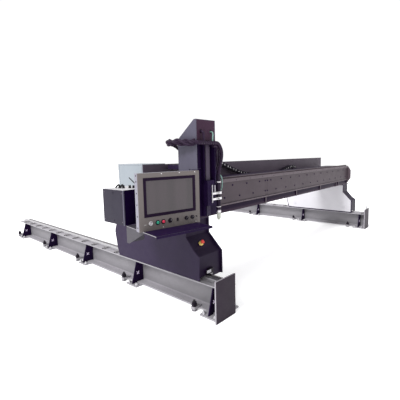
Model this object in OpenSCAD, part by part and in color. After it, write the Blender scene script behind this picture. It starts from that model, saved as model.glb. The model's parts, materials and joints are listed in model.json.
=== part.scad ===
// Gantry cutting table: two floor rails, a travelling gantry with a cross beam, a torch carriage
// with a height slide, a swivelling operator console, two cabinets and a cable tray with its chain.
// The machine is laid out with x across the rails, y along them and z up from the floor.

/* [Rails] */
// Distance between the centre planes of the two rails
rail_gauge = 4740; // [3600:10:7000]
// Length of each rail
rail_length = 5417; // [5400:1:12000]
// Height of the rail's H section
rail_height = 278; // [240:1:320]
// Width of the rail's flanges
rail_width = 200; // [180:2:220]
// Thickness of the rail's web
rail_web = 8; // [6:1:14]
// Thickness of the rail's flanges
rail_flange = 12; // [8:1:16]
// Width of the guide bar on each rail
guide_bar_w = 50; // [40:1:56]
// Height of the guide bar
guide_bar_h = 36; // [34:1:44]
// Height of the toothed racks on the rails
rack_h = 25; // [20:1:28]
// Distance between the clips that hold the guide bar
clip_pitch = 300; // [200:10:600]

/* [Feet] */
// Thickness of the foot plates
foot_t = 16; // [12:1:25]
// Width of a foot plate across the rail
foot_w = 380; // [360:2:420]
// Length of a foot plate along the rail
foot_l = 200; // [160:2:260]
// Distance from the last foot plate's middle to the rail's far end
foot_end = 287; // [200:1:400]
// Number of foot plates under each rail
foot_count = 5; // [3:1:5]
// Diameter of the anchor bolt holes
anchor_hole_d = 22; // [20:1:26]
// Distance between the anchor holes across the rail
anchor_span_x = 320; // [300:2:330]
// Distance between the anchor holes along the rail
anchor_span_y = 140; // [120:2:150]
// Thickness of the gusset plates
gusset_t = 12; // [8:1:16]
// Thickness of the rail end plates
end_plate_t = 15; // [10:1:20]
// Height of the rail end plates
end_plate_h = 412; // [380:2:440]

/* [Carriages] */
// Width of a gantry carriage across the rail
carriage_w = 348; // [340:2:360]
// Thickness of the carriage side plates
side_t = 12; // [8:1:16]
// Thickness of the sheet covers
sheet_t = 4; // [3:0.5:5]
// Thickness of the plate that closes a carriage at its top
top_t = 14; // [10:1:20]
// Height of the carriage side plates' upper edge
side_top = 888; // [860:2:920]
// Radius of the wheels' tread
wheel_r = 75; // [70:1:80]
// Diameter of the wheel axles
axle_d = 40; // [30:1:44]
// Tooth module of the racks on the rails
rail_module = 6; // [5:1:6]
// Number of teeth on the carriage pinions
pinion_teeth = 18; // [17:1:20]

/* [Beam] */
// Depth of the beam's box from front to back
beam_depth = 445; // [400:5:460]
// Height of the beam
beam_h = 394; // [384:2:410]
// Thickness of the beam's walls
beam_wall = 12; // [8:1:16]
// Thickness of the plate on the beam's face
face_t = 18; // [12:1:20]
// Thickness of the guide bands on the beam's face
band_t = 12; // [10:1:14]
// Height of the upper guide band
upper_band_h = 39; // [34:1:44]
// Height of the lower guide band
lower_band_h = 17; // [14:1:24]
// Distance between the bolts along the beam
bolt_pitch = 298; // [200:2:400]
// Tooth module of the rack on the beam
beam_module = 4; // [4:1:5]
// Number of teeth on the torch carriage's pinion
beam_pinion_teeth = 16; // [16:1:18]
// Depth of the cable tray
tray_depth = 150; // [140:2:170]
// Height of the cable tray's rear wall
tray_wall_h = 321; // [300:1:340]

/* [Torch carriage] */
// Width of the carriage plate
plate_w = 441; // [436:1:460]
// Thickness of the carriage plate
plate_t = 15; // [12:1:20]
// Width of the column
column_w = 281; // [276:1:290]
// Height of the column's top above the floor
column_top = 1920; // [1880:2:1980]
// Thickness of the column's side plates
column_side_t = 8; // [5:1:10]
// Diameter of the torch's body
torch_d = 48; // [44:1:50]
// Diameter of the torch's lead and of the hose bundle
lead_d = 44; // [36:1:44]
// Diameter of the two hoses that enter the column
tail_d = 22; // [16:1:24]
// Diameter of the torch's gas hose
gas_d = 12; // [8:1:12]
// Clearance of the sliding guides
guide_gap = 0.4; // [0.3:0.1:0.8]

/* [Console] */
// Angle by which the console is turned towards the operator
console_angle = 10; // [8:1:12]
// Width of the console
console_w = 645; // [630:1:646]
// Height of the console
console_h = 505; // [490:1:520]
// Depth of the console's housing
console_d = 60; // [50:2:70]
// Width of the shelf under the console
shelf_w = 585; // [570:1:600]
// Depth of the shelf
shelf_d = 570; // [540:2:600]
// Thickness of the shelf
shelf_t = 7.7; // [5:0.1:8.7]
// Diameter of the swivel pin
swivel_d = 30; // [24:1:36]

/* [Cabinets] */
// Width of the control cabinet along the rail
control_w = 358; // [340:1:362]
// Length of the control cabinet outwards from the carriage
control_l = 577; // [500:1:580]
// Height of the control cabinet
control_h = 333; // [300:1:340]
// Depth of the power cabinet along the rail
power_d = 488; // [450:1:500]
// Height of the power cabinet
power_h = 583; // [560:1:620]
// Thickness of the cabinets' sheet
cabinet_t = 3; // [2:0.5:4]

/* [Hidden] */

$fn = 48;
eps = 0.01;
pair_gap = 0.3;
fit_gap = 0.05;

steel_dark = [0.20, 0.16, 0.24];
steel_side = [0.28, 0.26, 0.33];
steel_face = [0.40, 0.36, 0.38];
steel_bare = [0.72, 0.72, 0.74];
panel_beige = [0.60, 0.57, 0.55];
sheet_pale = [0.78, 0.82, 0.86];
rubber_black = [0.12, 0.10, 0.14];

// Rails, from the floor up
rail_start = -130;
rail_end = rail_start + rail_length;
foot_pitch = (rail_end - foot_end) / (foot_count - 1);
rail_top = foot_t + rail_height;
bar_top = rail_top + guide_bar_h;
rail_places = [0, rail_gauge];
gusset_foot = 172;
gusset_head = 98;
clip_inner = guide_bar_w / 2 + 1;
clip_outer = 82;
clip_h = 14;
clip_bolt_x = 62;

// Racks and pinions: the tip of a rack's teeth lies rack_tip from the rail's centre plane
pressure_angle = 20;
rack_tip_x = 97;
rack_back_x = 72;
rail_pinion_r = rail_module * pinion_teeth / 2;
pinion_x = rack_tip_x - 0.8 * rail_module + rail_pinion_r;
pinion_y = 890;
pinion_h = 22;
motor_shaft_r = 12;

// Gantry carriages
carriage_x = -98;
carriage_clear = 4;
side_low = rail_top + carriage_clear;
cover_x = carriage_x + side_t;
cover_w = carriage_w - 2 * side_t;
carriage_end = carriage_x + carriage_w;
deck = side_top + top_t;
nose_y = 178;
shoulder_y = 361;
deck_rear_y = 1560;
nose_line = [[nose_y, side_low], [nose_y, 550], [250, 602], [shoulder_y, 727],
    [shoulder_y, side_top]];
tail_line = [[deck_rear_y, side_top], [1680, 650], [1690, 600], [1650, 400], [1610, side_low]];
proud = 23;
wheel_places = [330, 1450];
axle_z = bar_top + wheel_r + pair_gap;
flange_r = wheel_r + 12;
flange_w = 10;
tread_w = guide_bar_w + 2;
mount_z = rail_top + 51;
mount_t = 12;
mount_l = 380;

// Beam
beam_y = 330;
beam_rear = beam_y + beam_depth;
beam_top = deck + beam_h;
beam_x = carriage_x + side_t;
beam_end = rail_gauge + 75;
face_y = beam_y - face_t;
face_low = deck + 90;
band_y = face_y - band_t;
seam_x = 1426;
bolt_rows = [[655, beam_top - 80], [500, face_low + 85]];
beam_pinion_r = beam_module * beam_pinion_teeth / 2;
beam_rack_tip = beam_y + 4;
beam_rack_h = 20;
x_pinion_x = 20;
x_pinion_y = beam_rack_tip + 0.8 * beam_module - beam_pinion_r;
x_shaft_r = 9;
x_bracket_z = beam_top + beam_rack_h + 14;
stop_t = 12;

// Cable tray and its chain
tray_t = 8;
tray_floor = deck + 258;
tray_end = rail_gauge + 110;
tray_rear = beam_rear + tray_depth;
chain_t = 44;
chain_y = beam_rear + 35;
chain_w = 80;
chain_z = tray_floor + chain_t / 2 + 2 * pair_gap;

// Torch carriage
plate_x = -110;
plate_y = 240;
plate_low = 942;
plate_high = 1440;
plate_back = plate_y + plate_t;
block_places = [-105, 225];
block_w = 80;
column_x = -125;
column_front = 150;
column_rear = 406;
column_inner = column_x + column_side_t;
column_inner_w = column_w - 2 * column_side_t;
column_base = 1180;
column_heel = beam_top + beam_rack_h + 4;
cover_low = column_top - 240;
column_cutback = 225;
column_line = [[column_front, column_top], [column_front + 28, column_top],
    [column_rear, column_top - 184], [column_rear, column_heel]];
entry_z = column_top - 114;
entry_r = 18;
entry_places = [-56, 89];
arm_x = 156;
arm_w = 44;
arm_z = 1420;
arm_h = 50;
chain_points = [[arm_x + arm_w + 1.2, 1447], [260, 1447.5], [400, 1466], [560, 1499], [720, 1518],
    [860, 1515], [1000, 1491], [1130, 1450], [1284, 1394], [1466, 1336], [1661, 1290],
    [1923, 1258], [2150, 1243], [2400, 1238], [2700, 1250], [2980, 1304], [3200, 1344],
    [3300, 1336], [3366, 1290], [3372, 1240], [3312, chain_z + 8], [3264, chain_z + 1.5],
    [3212, chain_z], [3160, chain_z], [2800, chain_z], [2400, chain_z]];
spine_x = 30;
spine_w = 93;
spine_y = 200;
guide_x = 48;
guide_w = 57;
guide_t = 15;
guide_low = 950;
guide_high = cover_low - 5;

// Height slide and torch
slide_x = 22;
slide_w = 109;
slide_y = 148;
slide_low = 1060;
slide_high = 1318;
torch_x = 210;
torch_y = 162;
torch_r = torch_d / 2;
clamp_h = 24;
clamp_places = [1110, 1168];
bar_x = 97;

// Cords: routes chosen by hand, from one end to the other
torch_lead_route = [[210, 162, 1330], [210, 162, 1352], [211, 160, 1375], [214, 154, 1415],
    [221, 146, 1465], [229, 138, 1515], [232, 132, 1560], [226, 127, 1605], [206, 123, 1645],
    [178, 121, 1678], [156, 120, 1691], [138, 120, 1695], [120.3, 120, 1695]];
bundle_route = [[178, 640, 1470], [178, 640, 1510], [176, 640, 1550], [164, 636, 1588], [130, 622, 1618],
    [80, 602, 1645], [20, 580, 1668], [-50, 552, 1688], [-120, 520, 1700], [-180, 480, 1706],
    [-212, 430, 1706], [-210, 380, 1706], [-192, 320, 1704], [-175, 250, 1702],
    [-168, 190, 1700], [-158, 138, 1698], [-122, 118, 1696], [-60, 120, 1694], [10, 120, 1694],
    [70, 120, 1695], [120, 120, 1695]];
left_tail_route = [[-56, 172, 1806], [-56, 150, 1806], [-56, 134, 1802], [-55, 123, 1791],
    [-53, 120, 1774], [-50, 120, 1750], [-48, 120, 1713]];
right_tail_route = [[89, 172, 1806], [89, 150, 1806], [89, 134, 1802], [88, 123, 1791],
    [86, 120, 1774], [83, 120, 1750], [80, 120, 1713]];
gas_route = [[235, 160, 1362], [243, 159, 1359], [254, 157, 1346], [262, 155, 1318],
    [265, 155, 1288], [265, 156, 1250], [261, 159, 1221], [252, 162, 1205], [243, 162, 1202],
    [234.3, 162, 1202]];

// Console, measured from its swivel pin
pin_x = -388;
pin_y = 471;
shelf_top = 925;
shelf_low = shelf_top - shelf_t;
column_knee = shelf_top + console_h + 6;
shelf_left = -288;
shelf_front = -515;
console_left = -322;
console_right = console_left + console_w;
console_front = -290;
panel_t = 6;
window = [console_left + 52, shelf_top + 123, console_w - 103, console_h - 167];
glass_border = 24;
control_row = shelf_top + 64;
button_r = 11;
button_places = [console_left + 177, console_left + 234];
key_place = console_left + 109;
selector_place = console_left + 306;
bracket_place = selector_place + 70;
knob_places = [console_right - 161, console_right - 93];
arm_top = shelf_low - pair_gap;
arm_flange = 12;
arm_low = 800;
arm_y0 = 431;
arm_y1 = 511;
gusset_low = shelf_top - 163;
gusset_front = console_front - 19;

// Cabinets
control_y = 564;
control_z = 929;
bracket_x = carriage_x - side_t;
control_x = bracket_x - control_l;
gland_places = [[112, 226], [125, 181], [165, 131], [182, 91]];
rod_place = [307, 206];
power_y = 1047;
door_gap = 0.3;
door_t = 4;
door_low = deck + 3;
hinge_r = 7;
hinge_pin_r = 4;
hinge_x = carriage_end + 10;
hinge_y = power_y + power_d + 6;
hinge_h = 40;
hinge_places = [deck + 100, deck + 430];

// Emergency stop on the sloping part of the nose
slope_angle = atan2(nose_line[3][1] - nose_line[2][1], nose_line[3][0] - nose_line[2][0]);
stop_x = 48;
stop_along = 54;
stop_base_h = 22;
stop_stem_r = 8;

// The origin lies under the middle of the whole machine
far_left = pin_x + cos(console_angle) * shelf_left + sin(console_angle) * shelf_front;
mid_x = (far_left + rail_gauge + carriage_end) / 2;
mid_y = (rail_start - end_plate_t + rail_end) / 2;

module placed() translate([-mid_x, -mid_y, 0]) children();

// Extrudes a y-z outline along x
module along_x(x, w) translate([x, 0, 0]) rotate([90, 0, 90]) linear_extrude(w) children();

// Extrudes an x-z outline along y
module along_y(y, l) translate([0, y + l, 0]) rotate([90, 0, 0]) linear_extrude(l) children();

module block(low, size) translate(low) cube(size);

module at_rails() for (x = rail_places) translate([x, 0, 0]) children();

module at_feet() at_rails() for (i = [0 : foot_count - 1]) translate([0, i * foot_pitch, 0]) children();

module at_console() translate([pin_x, pin_y, 0]) rotate([0, 0, -console_angle]) children();

module bolt_y(x, y, z, r, h) translate([x, y, z]) rotate([90, 0, 0]) cylinder(r = r, h = h);

// Tube along a route: rings turned square to the path, with their tops kept upright
function unit(v) = v / norm(v);
function bead(p, i) = unit(p[min(i + 1, len(p) - 1)] - p[max(i - 1, 0)]);
function side_of(t) = unit(cross(t, abs(t[2]) > 0.9 ? [0, 1, 0] : [0, 0, 1]));
function carry(side, t) = unit(side - (side * t) * t);
function sides(p, i = 0, s = [], last = undef) = i == len(p) ? s :
    let (t = bead(p, i), now = i == 0 ? side_of(t) : carry(last, t))
    sides(p, i + 1, concat(s, [now]), now);

module tube(route, d, n) {
    across = sides(route);
    rings = len(route);
    points = [for (i = [0 : rings - 1]) let (t = bead(route, i), u = across[i], v = cross(t, u))
        for (k = [0 : n - 1]) route[i] + d / 2 * (cos(360 * k / n) * u + sin(360 * k / n) * v)];
    walls = [for (i = [0 : rings - 2], k = [0 : n - 1]) each
        [[i * n + k, (i + 1) * n + k, (i + 1) * n + (k + 1) % n],
         [i * n + k, (i + 1) * n + (k + 1) % n, i * n + (k + 1) % n]]];
    first = [[for (k = [0 : n - 1]) k]];
    last = [[for (k = [n - 1 : -1 : 0]) (rings - 1) * n + k]];
    polyhedron(points, concat(walls, first, last), 2);
}

// Smooth curve through hand-chosen points, in the plane
function spline(a, b, c, d, t) = 0.5 * (2 * b + (c - a) * t + (2 * a - 5 * b + 4 * c - d) * t * t
    + (3 * b - a - 3 * c + d) * t * t * t);
function curve(p, steps) = [for (i = [0 : len(p) - 2], k = [0 : steps - 1])
    spline(p[max(i - 1, 0)], p[i], p[i + 1], p[min(i + 2, len(p) - 1)], k / steps),
    p[len(p) - 1]];
function left_of(p, i) = let (t = bead(p, i)) [-t[1], t[0]];
function band_outline(p, w) = concat([for (i = [0 : len(p) - 1]) p[i] + w / 2 * left_of(p, i)],
    [for (i = [len(p) - 1 : -1 : 0]) p[i] - w / 2 * left_of(p, i)]);

// Straight rack: its teeth point along +x, and one gap lies at phase
module rack_outline(back, tip, m, start, length, phase) {
    pitch = PI * m;
    root = tip - 2 * m;
    lean = tan(pressure_angle);
    first = ceil((start - phase) / pitch + 1);
    last = floor((start + length - phase) / pitch - 1);
    teeth = [for (k = [first : last]) let (c = phase + (k + 0.5) * pitch,
        low = pitch / 4 + 1.2 * m * lean, high = pitch / 4 - 0.8 * m * lean)
        each [[root, c - low], [tip, c - high], [tip, c + high], [root, c + low]]];
    polygon(concat([[back, start], [root, start]], teeth,
        [[root, start + length], [back, start + length]]));
}

// Involute pinion: one tooth points along -x
function involute(base, a) = base * [cos(a) + a * PI / 180 * sin(a), sin(a) - a * PI / 180 * cos(a)];
function turned(p, a) = [p[0] * cos(a) - p[1] * sin(a), p[0] * sin(a) + p[1] * cos(a)];

module pinion_outline(m, n) {
    pitch_r = m * n / 2;
    base = pitch_r * cos(pressure_angle);
    tip = pitch_r + 0.95 * m;
    root = pitch_r - 1.1 * m;
    backlash = 0.4;
    end_a = sqrt(pow(tip / base, 2) - 1) * 180 / PI;
    pitch_a = tan(pressure_angle) * 180 / PI - pressure_angle;
    half = 90 / n - backlash / 2 / pitch_r * 180 / PI + pitch_a;
    flank = [for (k = [0 : 4]) turned(involute(base, end_a * k / 4), -half)];
    mirrored = [for (k = [4 : -1 : 0]) [flank[k][0], -flank[k][1]]];
    points = [for (i = [0 : n - 1]) let (a = 180 + 360 * i / n) each concat(
        [turned([root, 0], a - half)], [for (p = flank) turned(p, a)],
        [for (p = mirrored) turned(p, a)], [turned([root, 0], a + half)])];
    polygon(points);
}

// Floor rails
module h_section() {
    w = rail_width / 2;
    t = rail_web / 2;
    low = foot_t;
    high = rail_top;
    polygon([[-w, low], [w, low], [w, low + rail_flange], [t, low + rail_flange],
        [t, high - rail_flange], [w, high - rail_flange], [w, high], [-w, high],
        [-w, high - rail_flange], [-t, high - rail_flange], [-t, low + rail_flange],
        [-w, low + rail_flange]]);
}

module rail_beams() color([0.60, 0.58, 0.61]) placed() at_rails()
    along_y(rail_start, rail_length) h_section();

module rail_gussets() {
    web = rail_web / 2;
    low = foot_t + rail_flange;
    high = rail_top - rail_flange;
    half = rail_width / 2;
    outline = [[web, low], [half, low], [half, foot_t], [gusset_foot, foot_t],
        [gusset_head, high], [web, high]];
    color(steel_dark) placed() at_feet() for (side = [0, 1]) mirror([side, 0, 0])
        along_y(-gusset_t / 2, gusset_t) polygon(outline);
}

module anchor_places() for (x = [-1, 1], y = [-1, 1])
    translate([x * anchor_span_x / 2, y * anchor_span_y / 2, 0]) children();

module foot_plates() color(steel_side) placed() at_feet() difference() {
    block([-foot_w / 2, -foot_l / 2, 0], [foot_w, foot_l, foot_t]);
    anchor_places() translate([0, 0, -1]) cylinder(d = anchor_hole_d, h = foot_t + 2);
}

module floor_anchors() {
    washer_t = 3;
    nut_h = 16;
    stud_r = anchor_hole_d / 2 - 1;
    color(steel_bare) placed() at_feet() anchor_places() {
        cylinder(r = stud_r, h = foot_t + washer_t + nut_h + 12);
        translate([0, 0, foot_t]) cylinder(r = stud_r + 9, h = washer_t);
        translate([0, 0, foot_t + washer_t]) cylinder(r = stud_r + 8, h = nut_h, $fn = 6);
    }
}

module levelling_jacks() {
    jack_x = -145;
    jack_y = 212;
    low = foot_t + rail_flange;
    reach = rail_width / 2;
    screw_r = 10;
    last_y = rail_end - 40;
    color(steel_side) placed() at_rails() for (i = [0 : foot_count - 1])
        translate([0, min(i * foot_pitch + jack_y, last_y), 0]) {
        block([jack_x - 25, -25, low], [50 - jack_x - 25 - reach + 40, 50, 18]);
        block([jack_x - 25, -25, foot_t], [-reach - jack_x + 25 - pair_gap, 50, rail_flange]);
        translate([jack_x, 0, 0]) cylinder(r = 30, h = 8);
        translate([jack_x, 0, 4]) cylinder(r = screw_r, h = 106);
        translate([jack_x, 0, low + 18]) cylinder(r = 17, h = 14, $fn = 6);
    }
}

module end_plates() {
    color(steel_side) placed() {
        at_rails() block([-222, rail_start - end_plate_t, 0], [298, end_plate_t, end_plate_h]);
        translate([rail_gauge - 73, rail_start - end_plate_t / 2, end_plate_h - eps])
            cylinder(d = end_plate_t - 1, h = 60);
    }
}

module guide_bars() {
    w = guide_bar_w / 2;
    bevel = 3;
    color(steel_bare) placed() at_rails() along_y(rail_start, rail_length)
        polygon([[-w, rail_top], [w, rail_top], [w, bar_top - bevel], [w - bevel, bar_top],
            [bevel - w, bar_top], [-w, bar_top - bevel]]);
}

module rail_racks() color(steel_bare) placed() at_rails() translate([0, 0, rail_top])
    linear_extrude(rack_h)
    rack_outline(rack_back_x, rack_tip_x, rail_module, rail_start, rail_length, pinion_y);

module rail_clips() {
    first = rail_start + 80;
    last = rail_end - 80;
    w = clip_outer - clip_inner;
    color(steel_dark) placed() at_rails() for (y = [first : clip_pitch : last]) {
        block([-clip_outer, y - 25, rail_top], [w, 50, clip_h]);
        translate([-clip_bolt_x, y, rail_top + clip_h]) cylinder(r = 12, h = 9, $fn = 6);
    }
}

// Gantry carriages, alike on both rails
function shifted(p, y, z) = [for (q = p) q + [y, z]];
function reversed(p) = [for (i = [len(p) - 1 : -1 : 0]) p[i]];
nose_proud = concat([nose_line[0] - [proud, 0], nose_line[1] - [proud, 0]],
    [[shoulder_y - proud, 725], [shoulder_y - proud, side_top]]);

module side_plate(x, front) along_x(x, side_t) polygon(concat(front, tail_line));

module carriage_sides() color(steel_side) placed() {
    side_plate(carriage_x, nose_line);
    side_plate(carriage_end - side_t, nose_proud);
    side_plate(rail_gauge + carriage_x, nose_proud);
    side_plate(rail_gauge + carriage_end - side_t, nose_line);
}

module carriage_covers() color(steel_dark) placed() at_rails() difference() {
    union() {
        along_x(cover_x, cover_w) polygon(concat(nose_line, reversed(shifted(nose_line, sheet_t, 0))));
        along_x(cover_x, cover_w) polygon(concat(tail_line, reversed(shifted(tail_line, -sheet_t, 0))));
    }
    block([cover_x - 1, nose_y - 50, side_low - 1],
        [rack_tip_x + 7 - cover_x, deck_rear_y + 200 - nose_y, bar_top + carriage_clear - side_low + 1]);
}

module carriage_tops() color(steel_side) placed() at_rails()
    block([carriage_x, shoulder_y - 21, side_top], [carriage_w, deck_rear_y - shoulder_y + 21, top_t]);

module motor_mounts() color(steel_side) placed() at_rails() difference() {
    block([cover_x, pinion_y - mount_l / 2, mount_z], [cover_w, mount_l, mount_t]);
    translate([pinion_x, pinion_y, mount_z - 1]) cylinder(r = motor_shaft_r + 2, h = mount_t + 2);
}

module wheel_axles() color(steel_bare) placed() at_rails() for (y = wheel_places)
    translate([cover_x, y, axle_z]) rotate([0, 90, 0]) cylinder(d = axle_d, h = cover_w);

module drive_motors() {
    box = 110;
    box_h = 120;
    low = mount_z + mount_t;
    color(rubber_black) placed() at_rails() translate([pinion_x, pinion_y, 0]) difference() {
        union() {
            block([-box / 2, -box / 2, low], [box, box, box_h]);
            translate([0, 0, low + box_h - eps]) cylinder(r = 50, h = 200);
        }
        translate([0, 0, low - 1]) cylinder(r = motor_shaft_r + fit_gap, h = 71);
    }
}

module wheel() rotate([0, 90, 0]) difference() {
    union() {
        cylinder(r = wheel_r, h = tread_w + 2 * flange_w, center = true, $fn = 96);
        for (s = [-1, 1]) translate([0, 0, s * (tread_w + flange_w) / 2])
            cylinder(r = flange_r, h = flange_w, center = true, $fn = 96);
    }
    cylinder(r = axle_d / 2 + fit_gap, h = 200, center = true);
}

module wheel_pair(y) at_rails() translate([0, y, axle_z]) wheel();

module front_wheels() color(steel_bare) placed() wheel_pair(wheel_places[0]);

module rear_wheels() color(steel_bare) placed() wheel_pair(wheel_places[1]);

module carriage_pinion() translate([pinion_x, pinion_y, 0]) {
    translate([0, 0, rail_top + 2]) linear_extrude(pinion_h) pinion_outline(rail_module, pinion_teeth);
    translate([0, 0, rail_top + 2 + pinion_h - eps])
        cylinder(r = motor_shaft_r, h = mount_z + mount_t + 50 - rail_top - pinion_h);
}

module near_pinion() color(steel_bare) placed() carriage_pinion();

module far_pinion() color(steel_bare) placed() translate([rail_gauge, 0, 0]) carriage_pinion();

// Cross beam
rib_places = [1415, 2356, 3322, 4135, 4255];

module beam_box() color(steel_dark) placed() {
    along_x(beam_x, beam_end - beam_x) difference() {
        translate([beam_y, deck]) square([beam_depth, beam_h]);
        translate([beam_y + beam_wall, deck + beam_wall])
            square([beam_depth - 2 * beam_wall, beam_h - 2 * beam_wall]);
    }
    for (x = rib_places) block([x, beam_y - 14, deck], [20, 14 + eps, face_low - deck]);
}

module beam_face() color(steel_face) placed() {
    block([beam_x, face_y, face_low], [seam_x - 1 - beam_x, face_t, beam_top - face_low]);
    block([seam_x + 1, face_y, face_low], [beam_end - seam_x - 1, face_t, beam_top - face_low]);
}

module beam_guides() color(steel_bare) placed() {
    block([beam_x, band_y, beam_top - upper_band_h], [beam_end - beam_x, band_t, upper_band_h]);
    block([beam_x, band_y, face_low], [beam_end - beam_x, band_t, lower_band_h]);
}

module beam_rack() color(steel_bare) placed() translate([0, 0, beam_top]) linear_extrude(beam_rack_h)
    mirror([1, -1]) mirror([1, 0])
    rack_outline(-beam_rack_tip - 22, -beam_rack_tip, beam_module, beam_x,
        beam_end - beam_x, x_pinion_x);

module beam_end_plates() color(steel_face) placed() {
    block([carriage_x, beam_y, deck], [side_t, beam_depth, beam_h]);
    along_x(beam_end, stop_t) polygon([[beam_rear, deck], [beam_rear, beam_top], [face_y, beam_top],
        [beam_y - 68, beam_top - 66], [beam_y - 87, beam_top - 90], [beam_y - 87, deck + 132],
        [beam_y, deck]]);
}

module beam_bolts() {
    head_r = 10;
    head_h = 6;
    rows = [for (row = bolt_rows) each [for (x = [row[0] - 2 * bolt_pitch : bolt_pitch : beam_end - 90])
        if (abs(x - seam_x) > 60) [x, row[1]]]];
    pairs = [for (row = bolt_rows, s = [-29, 29]) [seam_x + s, row[1]]];
    color(steel_dark) placed() for (p = concat(rows, pairs)) bolt_y(p[0], face_y, p[1], head_r, head_h);
}

module cable_tray() color(steel_side) placed() {
    block([carriage_x, beam_rear, tray_floor - tray_t], [tray_end - carriage_x, tray_depth, tray_t]);
    block([carriage_x, tray_rear - tray_t, tray_floor - eps],
        [tray_end - carriage_x, tray_t, tray_wall_h]);
    block([carriage_x - 90, tray_rear - tray_t, tray_floor + 115],
        [90 + eps, tray_t, tray_wall_h - 115 - eps]);
}

module drag_chain() color(rubber_black) placed() along_y(chain_y, chain_w)
    polygon(band_outline(curve(chain_points, 4), chain_t));

// Control cabinet on the near carriage's outer side
module cabinet_shell() color(steel_side) placed() difference() {
    block([control_x + cabinet_t, control_y, control_z],
        [control_l - cabinet_t, control_w, control_h]);
    block([control_x, control_y + cabinet_t, control_z + cabinet_t],
        [control_l - cabinet_t, control_w - 2 * cabinet_t, control_h - 2 * cabinet_t]);
}

module cabinet_cover() color(steel_dark) placed() {
    block([control_x, control_y, control_z], [cabinet_t, control_w, control_h]);
    for (z = [30, control_h - 30]) translate([control_x, control_y + control_w / 2, control_z + z])
        rotate([0, -90, 0]) cylinder(r = 8, h = 4);
}

module side_brackets() color(steel_side) placed() {
    block([bracket_x, control_y, control_z - 149], [side_t, control_w, control_h + 149]);
    block([bracket_x, arm_y0 - 20, arm_low - 10], [side_t, arm_y1 - arm_y0 + 40, arm_top - arm_low + 10]);
    block([pin_x - 42, arm_y0, arm_low], [bracket_x - pin_x + 42 + eps, arm_y1 - arm_y0,
        arm_top - arm_flange - arm_low + eps]);
    block([pin_x - 52, arm_y0 - 10, arm_top - arm_flange], [bracket_x - pin_x + 52 + eps,
        arm_y1 - arm_y0 + 20, arm_flange]);
    translate([pin_x, pin_y, arm_top - eps]) cylinder(d = swivel_d, h = 34);
}

module cable_glands() {
    top = control_z + control_h;
    color(rubber_black) placed() {
        for (p = gland_places) translate([control_x + p[0], control_y + p[1], top]) {
            cylinder(r = 16, h = 10, $fn = 6);
            translate([0, 0, 10 - eps]) cylinder(r = 12, h = 20);
        }
        translate([control_x + rod_place[0], control_y + rod_place[1], top]) {
            cylinder(r = 8, h = 12);
            translate([0, 0, 10]) rotate([-60, 0, 0]) cylinder(r = 3, h = 160);
        }
    }
}

// Power cabinet on the near carriage, with a door at its back
module hinge_places_z() for (z = hinge_places) translate([hinge_x, hinge_y, z]) children();

module power_cabinet() {
    w = carriage_w;
    color(sheet_pale) placed() {
        difference() {
            block([carriage_x, power_y, deck], [w, power_d, power_h]);
            block([carriage_x + cabinet_t, power_y + cabinet_t, deck + cabinet_t],
                [w - 2 * cabinet_t, power_d, power_h - 2 * cabinet_t]);
        }
        hinge_places_z() {
            cylinder(r = hinge_r, h = hinge_h / 2);
            cylinder(r = hinge_pin_r, h = hinge_h);
            translate([carriage_end - hinge_x - eps, -40, 0]) cube([3, 40, hinge_h / 2]);
            translate([carriage_end - hinge_x, -6, 0]) cube([8, 3, hinge_h / 2]);
        }
    }
}

module cabinet_door() {
    door_y = power_y + power_d + door_gap;
    color(sheet_pale) placed() {
        difference() {
            union() {
                block([carriage_x, door_y, door_low], [carriage_w - 0.5, door_t, deck + power_h - door_low]);
                hinge_places_z() translate([0, 0, hinge_h / 2 + pair_gap]) {
                    cylinder(r = hinge_r, h = hinge_h / 2);
                    translate([-45, door_y + door_t - hinge_y - eps, 0]) cube([45, 3, hinge_h / 2]);
                }
            }
            hinge_places_z() cylinder(r = hinge_pin_r + fit_gap, h = hinge_h + 2);
        }
        translate([carriage_x + 30, door_y + door_t - eps, deck + power_h / 2]) rotate([-90, 0, 0])
            cylinder(r = 14, h = 12);
    }
}

// Fittings on the near carriage's nose
module on_slope() translate([stop_x, nose_line[2][0], nose_line[2][1]]) rotate([slope_angle, 0, 0])
    translate([0, stop_along, 0]) children();

module nose_fittings() color([0.80, 0.72, 0.20]) placed() {
    on_slope() difference() {
        cylinder(r = 32, h = stop_base_h);
        translate([0, 0, 2]) cylinder(r = stop_stem_r + pair_gap, h = stop_base_h);
    }
    block([21, nose_y - 30, bar_top + carriage_clear], [77, 30, 67]);
    block([-80, shoulder_y - 75, deck - 52], [60, 54, 52 - pair_gap]);
}

module estop_button() color([0.75, 0.10, 0.12]) placed() on_slope() {
    translate([0, 0, 10]) cylinder(r = stop_stem_r, h = stop_base_h);
    translate([0, 0, stop_base_h + 8]) cylinder(r1 = 16, r2 = 21, h = 8);
    translate([0, 0, stop_base_h + 16 - eps]) cylinder(r = 21, h = 7);
}

// Torch carriage on the beam's face
module carriage_plate() color(steel_dark) placed() {
    block([plate_x, plate_y, plate_low], [plate_w, plate_t, plate_high - plate_low]);
    block([spine_x, spine_y, guide_low - 4], [spine_w, plate_y - spine_y + eps,
        cover_low + 10 - guide_low]);
}

module guide_blocks() {
    front = plate_back;
    face = band_y - guide_gap;
    lip = 12;
    upper = beam_top + guide_gap;
    lower = face_low - guide_gap;
    color(steel_side) placed() for (x = block_places) along_x(x, block_w) {
        polygon([[front, beam_top - 70], [face, beam_top - 70], [face, upper],
            [face_y + 14, upper], [face_y + 14, upper + lip], [front, upper + lip]]);
        polygon([[front, face_low + 50], [face, face_low + 50], [face, lower],
            [face_y - guide_gap, lower], [face_y - guide_gap, lower - lip], [front, lower - lip]]);
    }
}

module column_side(x, line) along_x(x, column_side_t) polygon(line);

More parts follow.
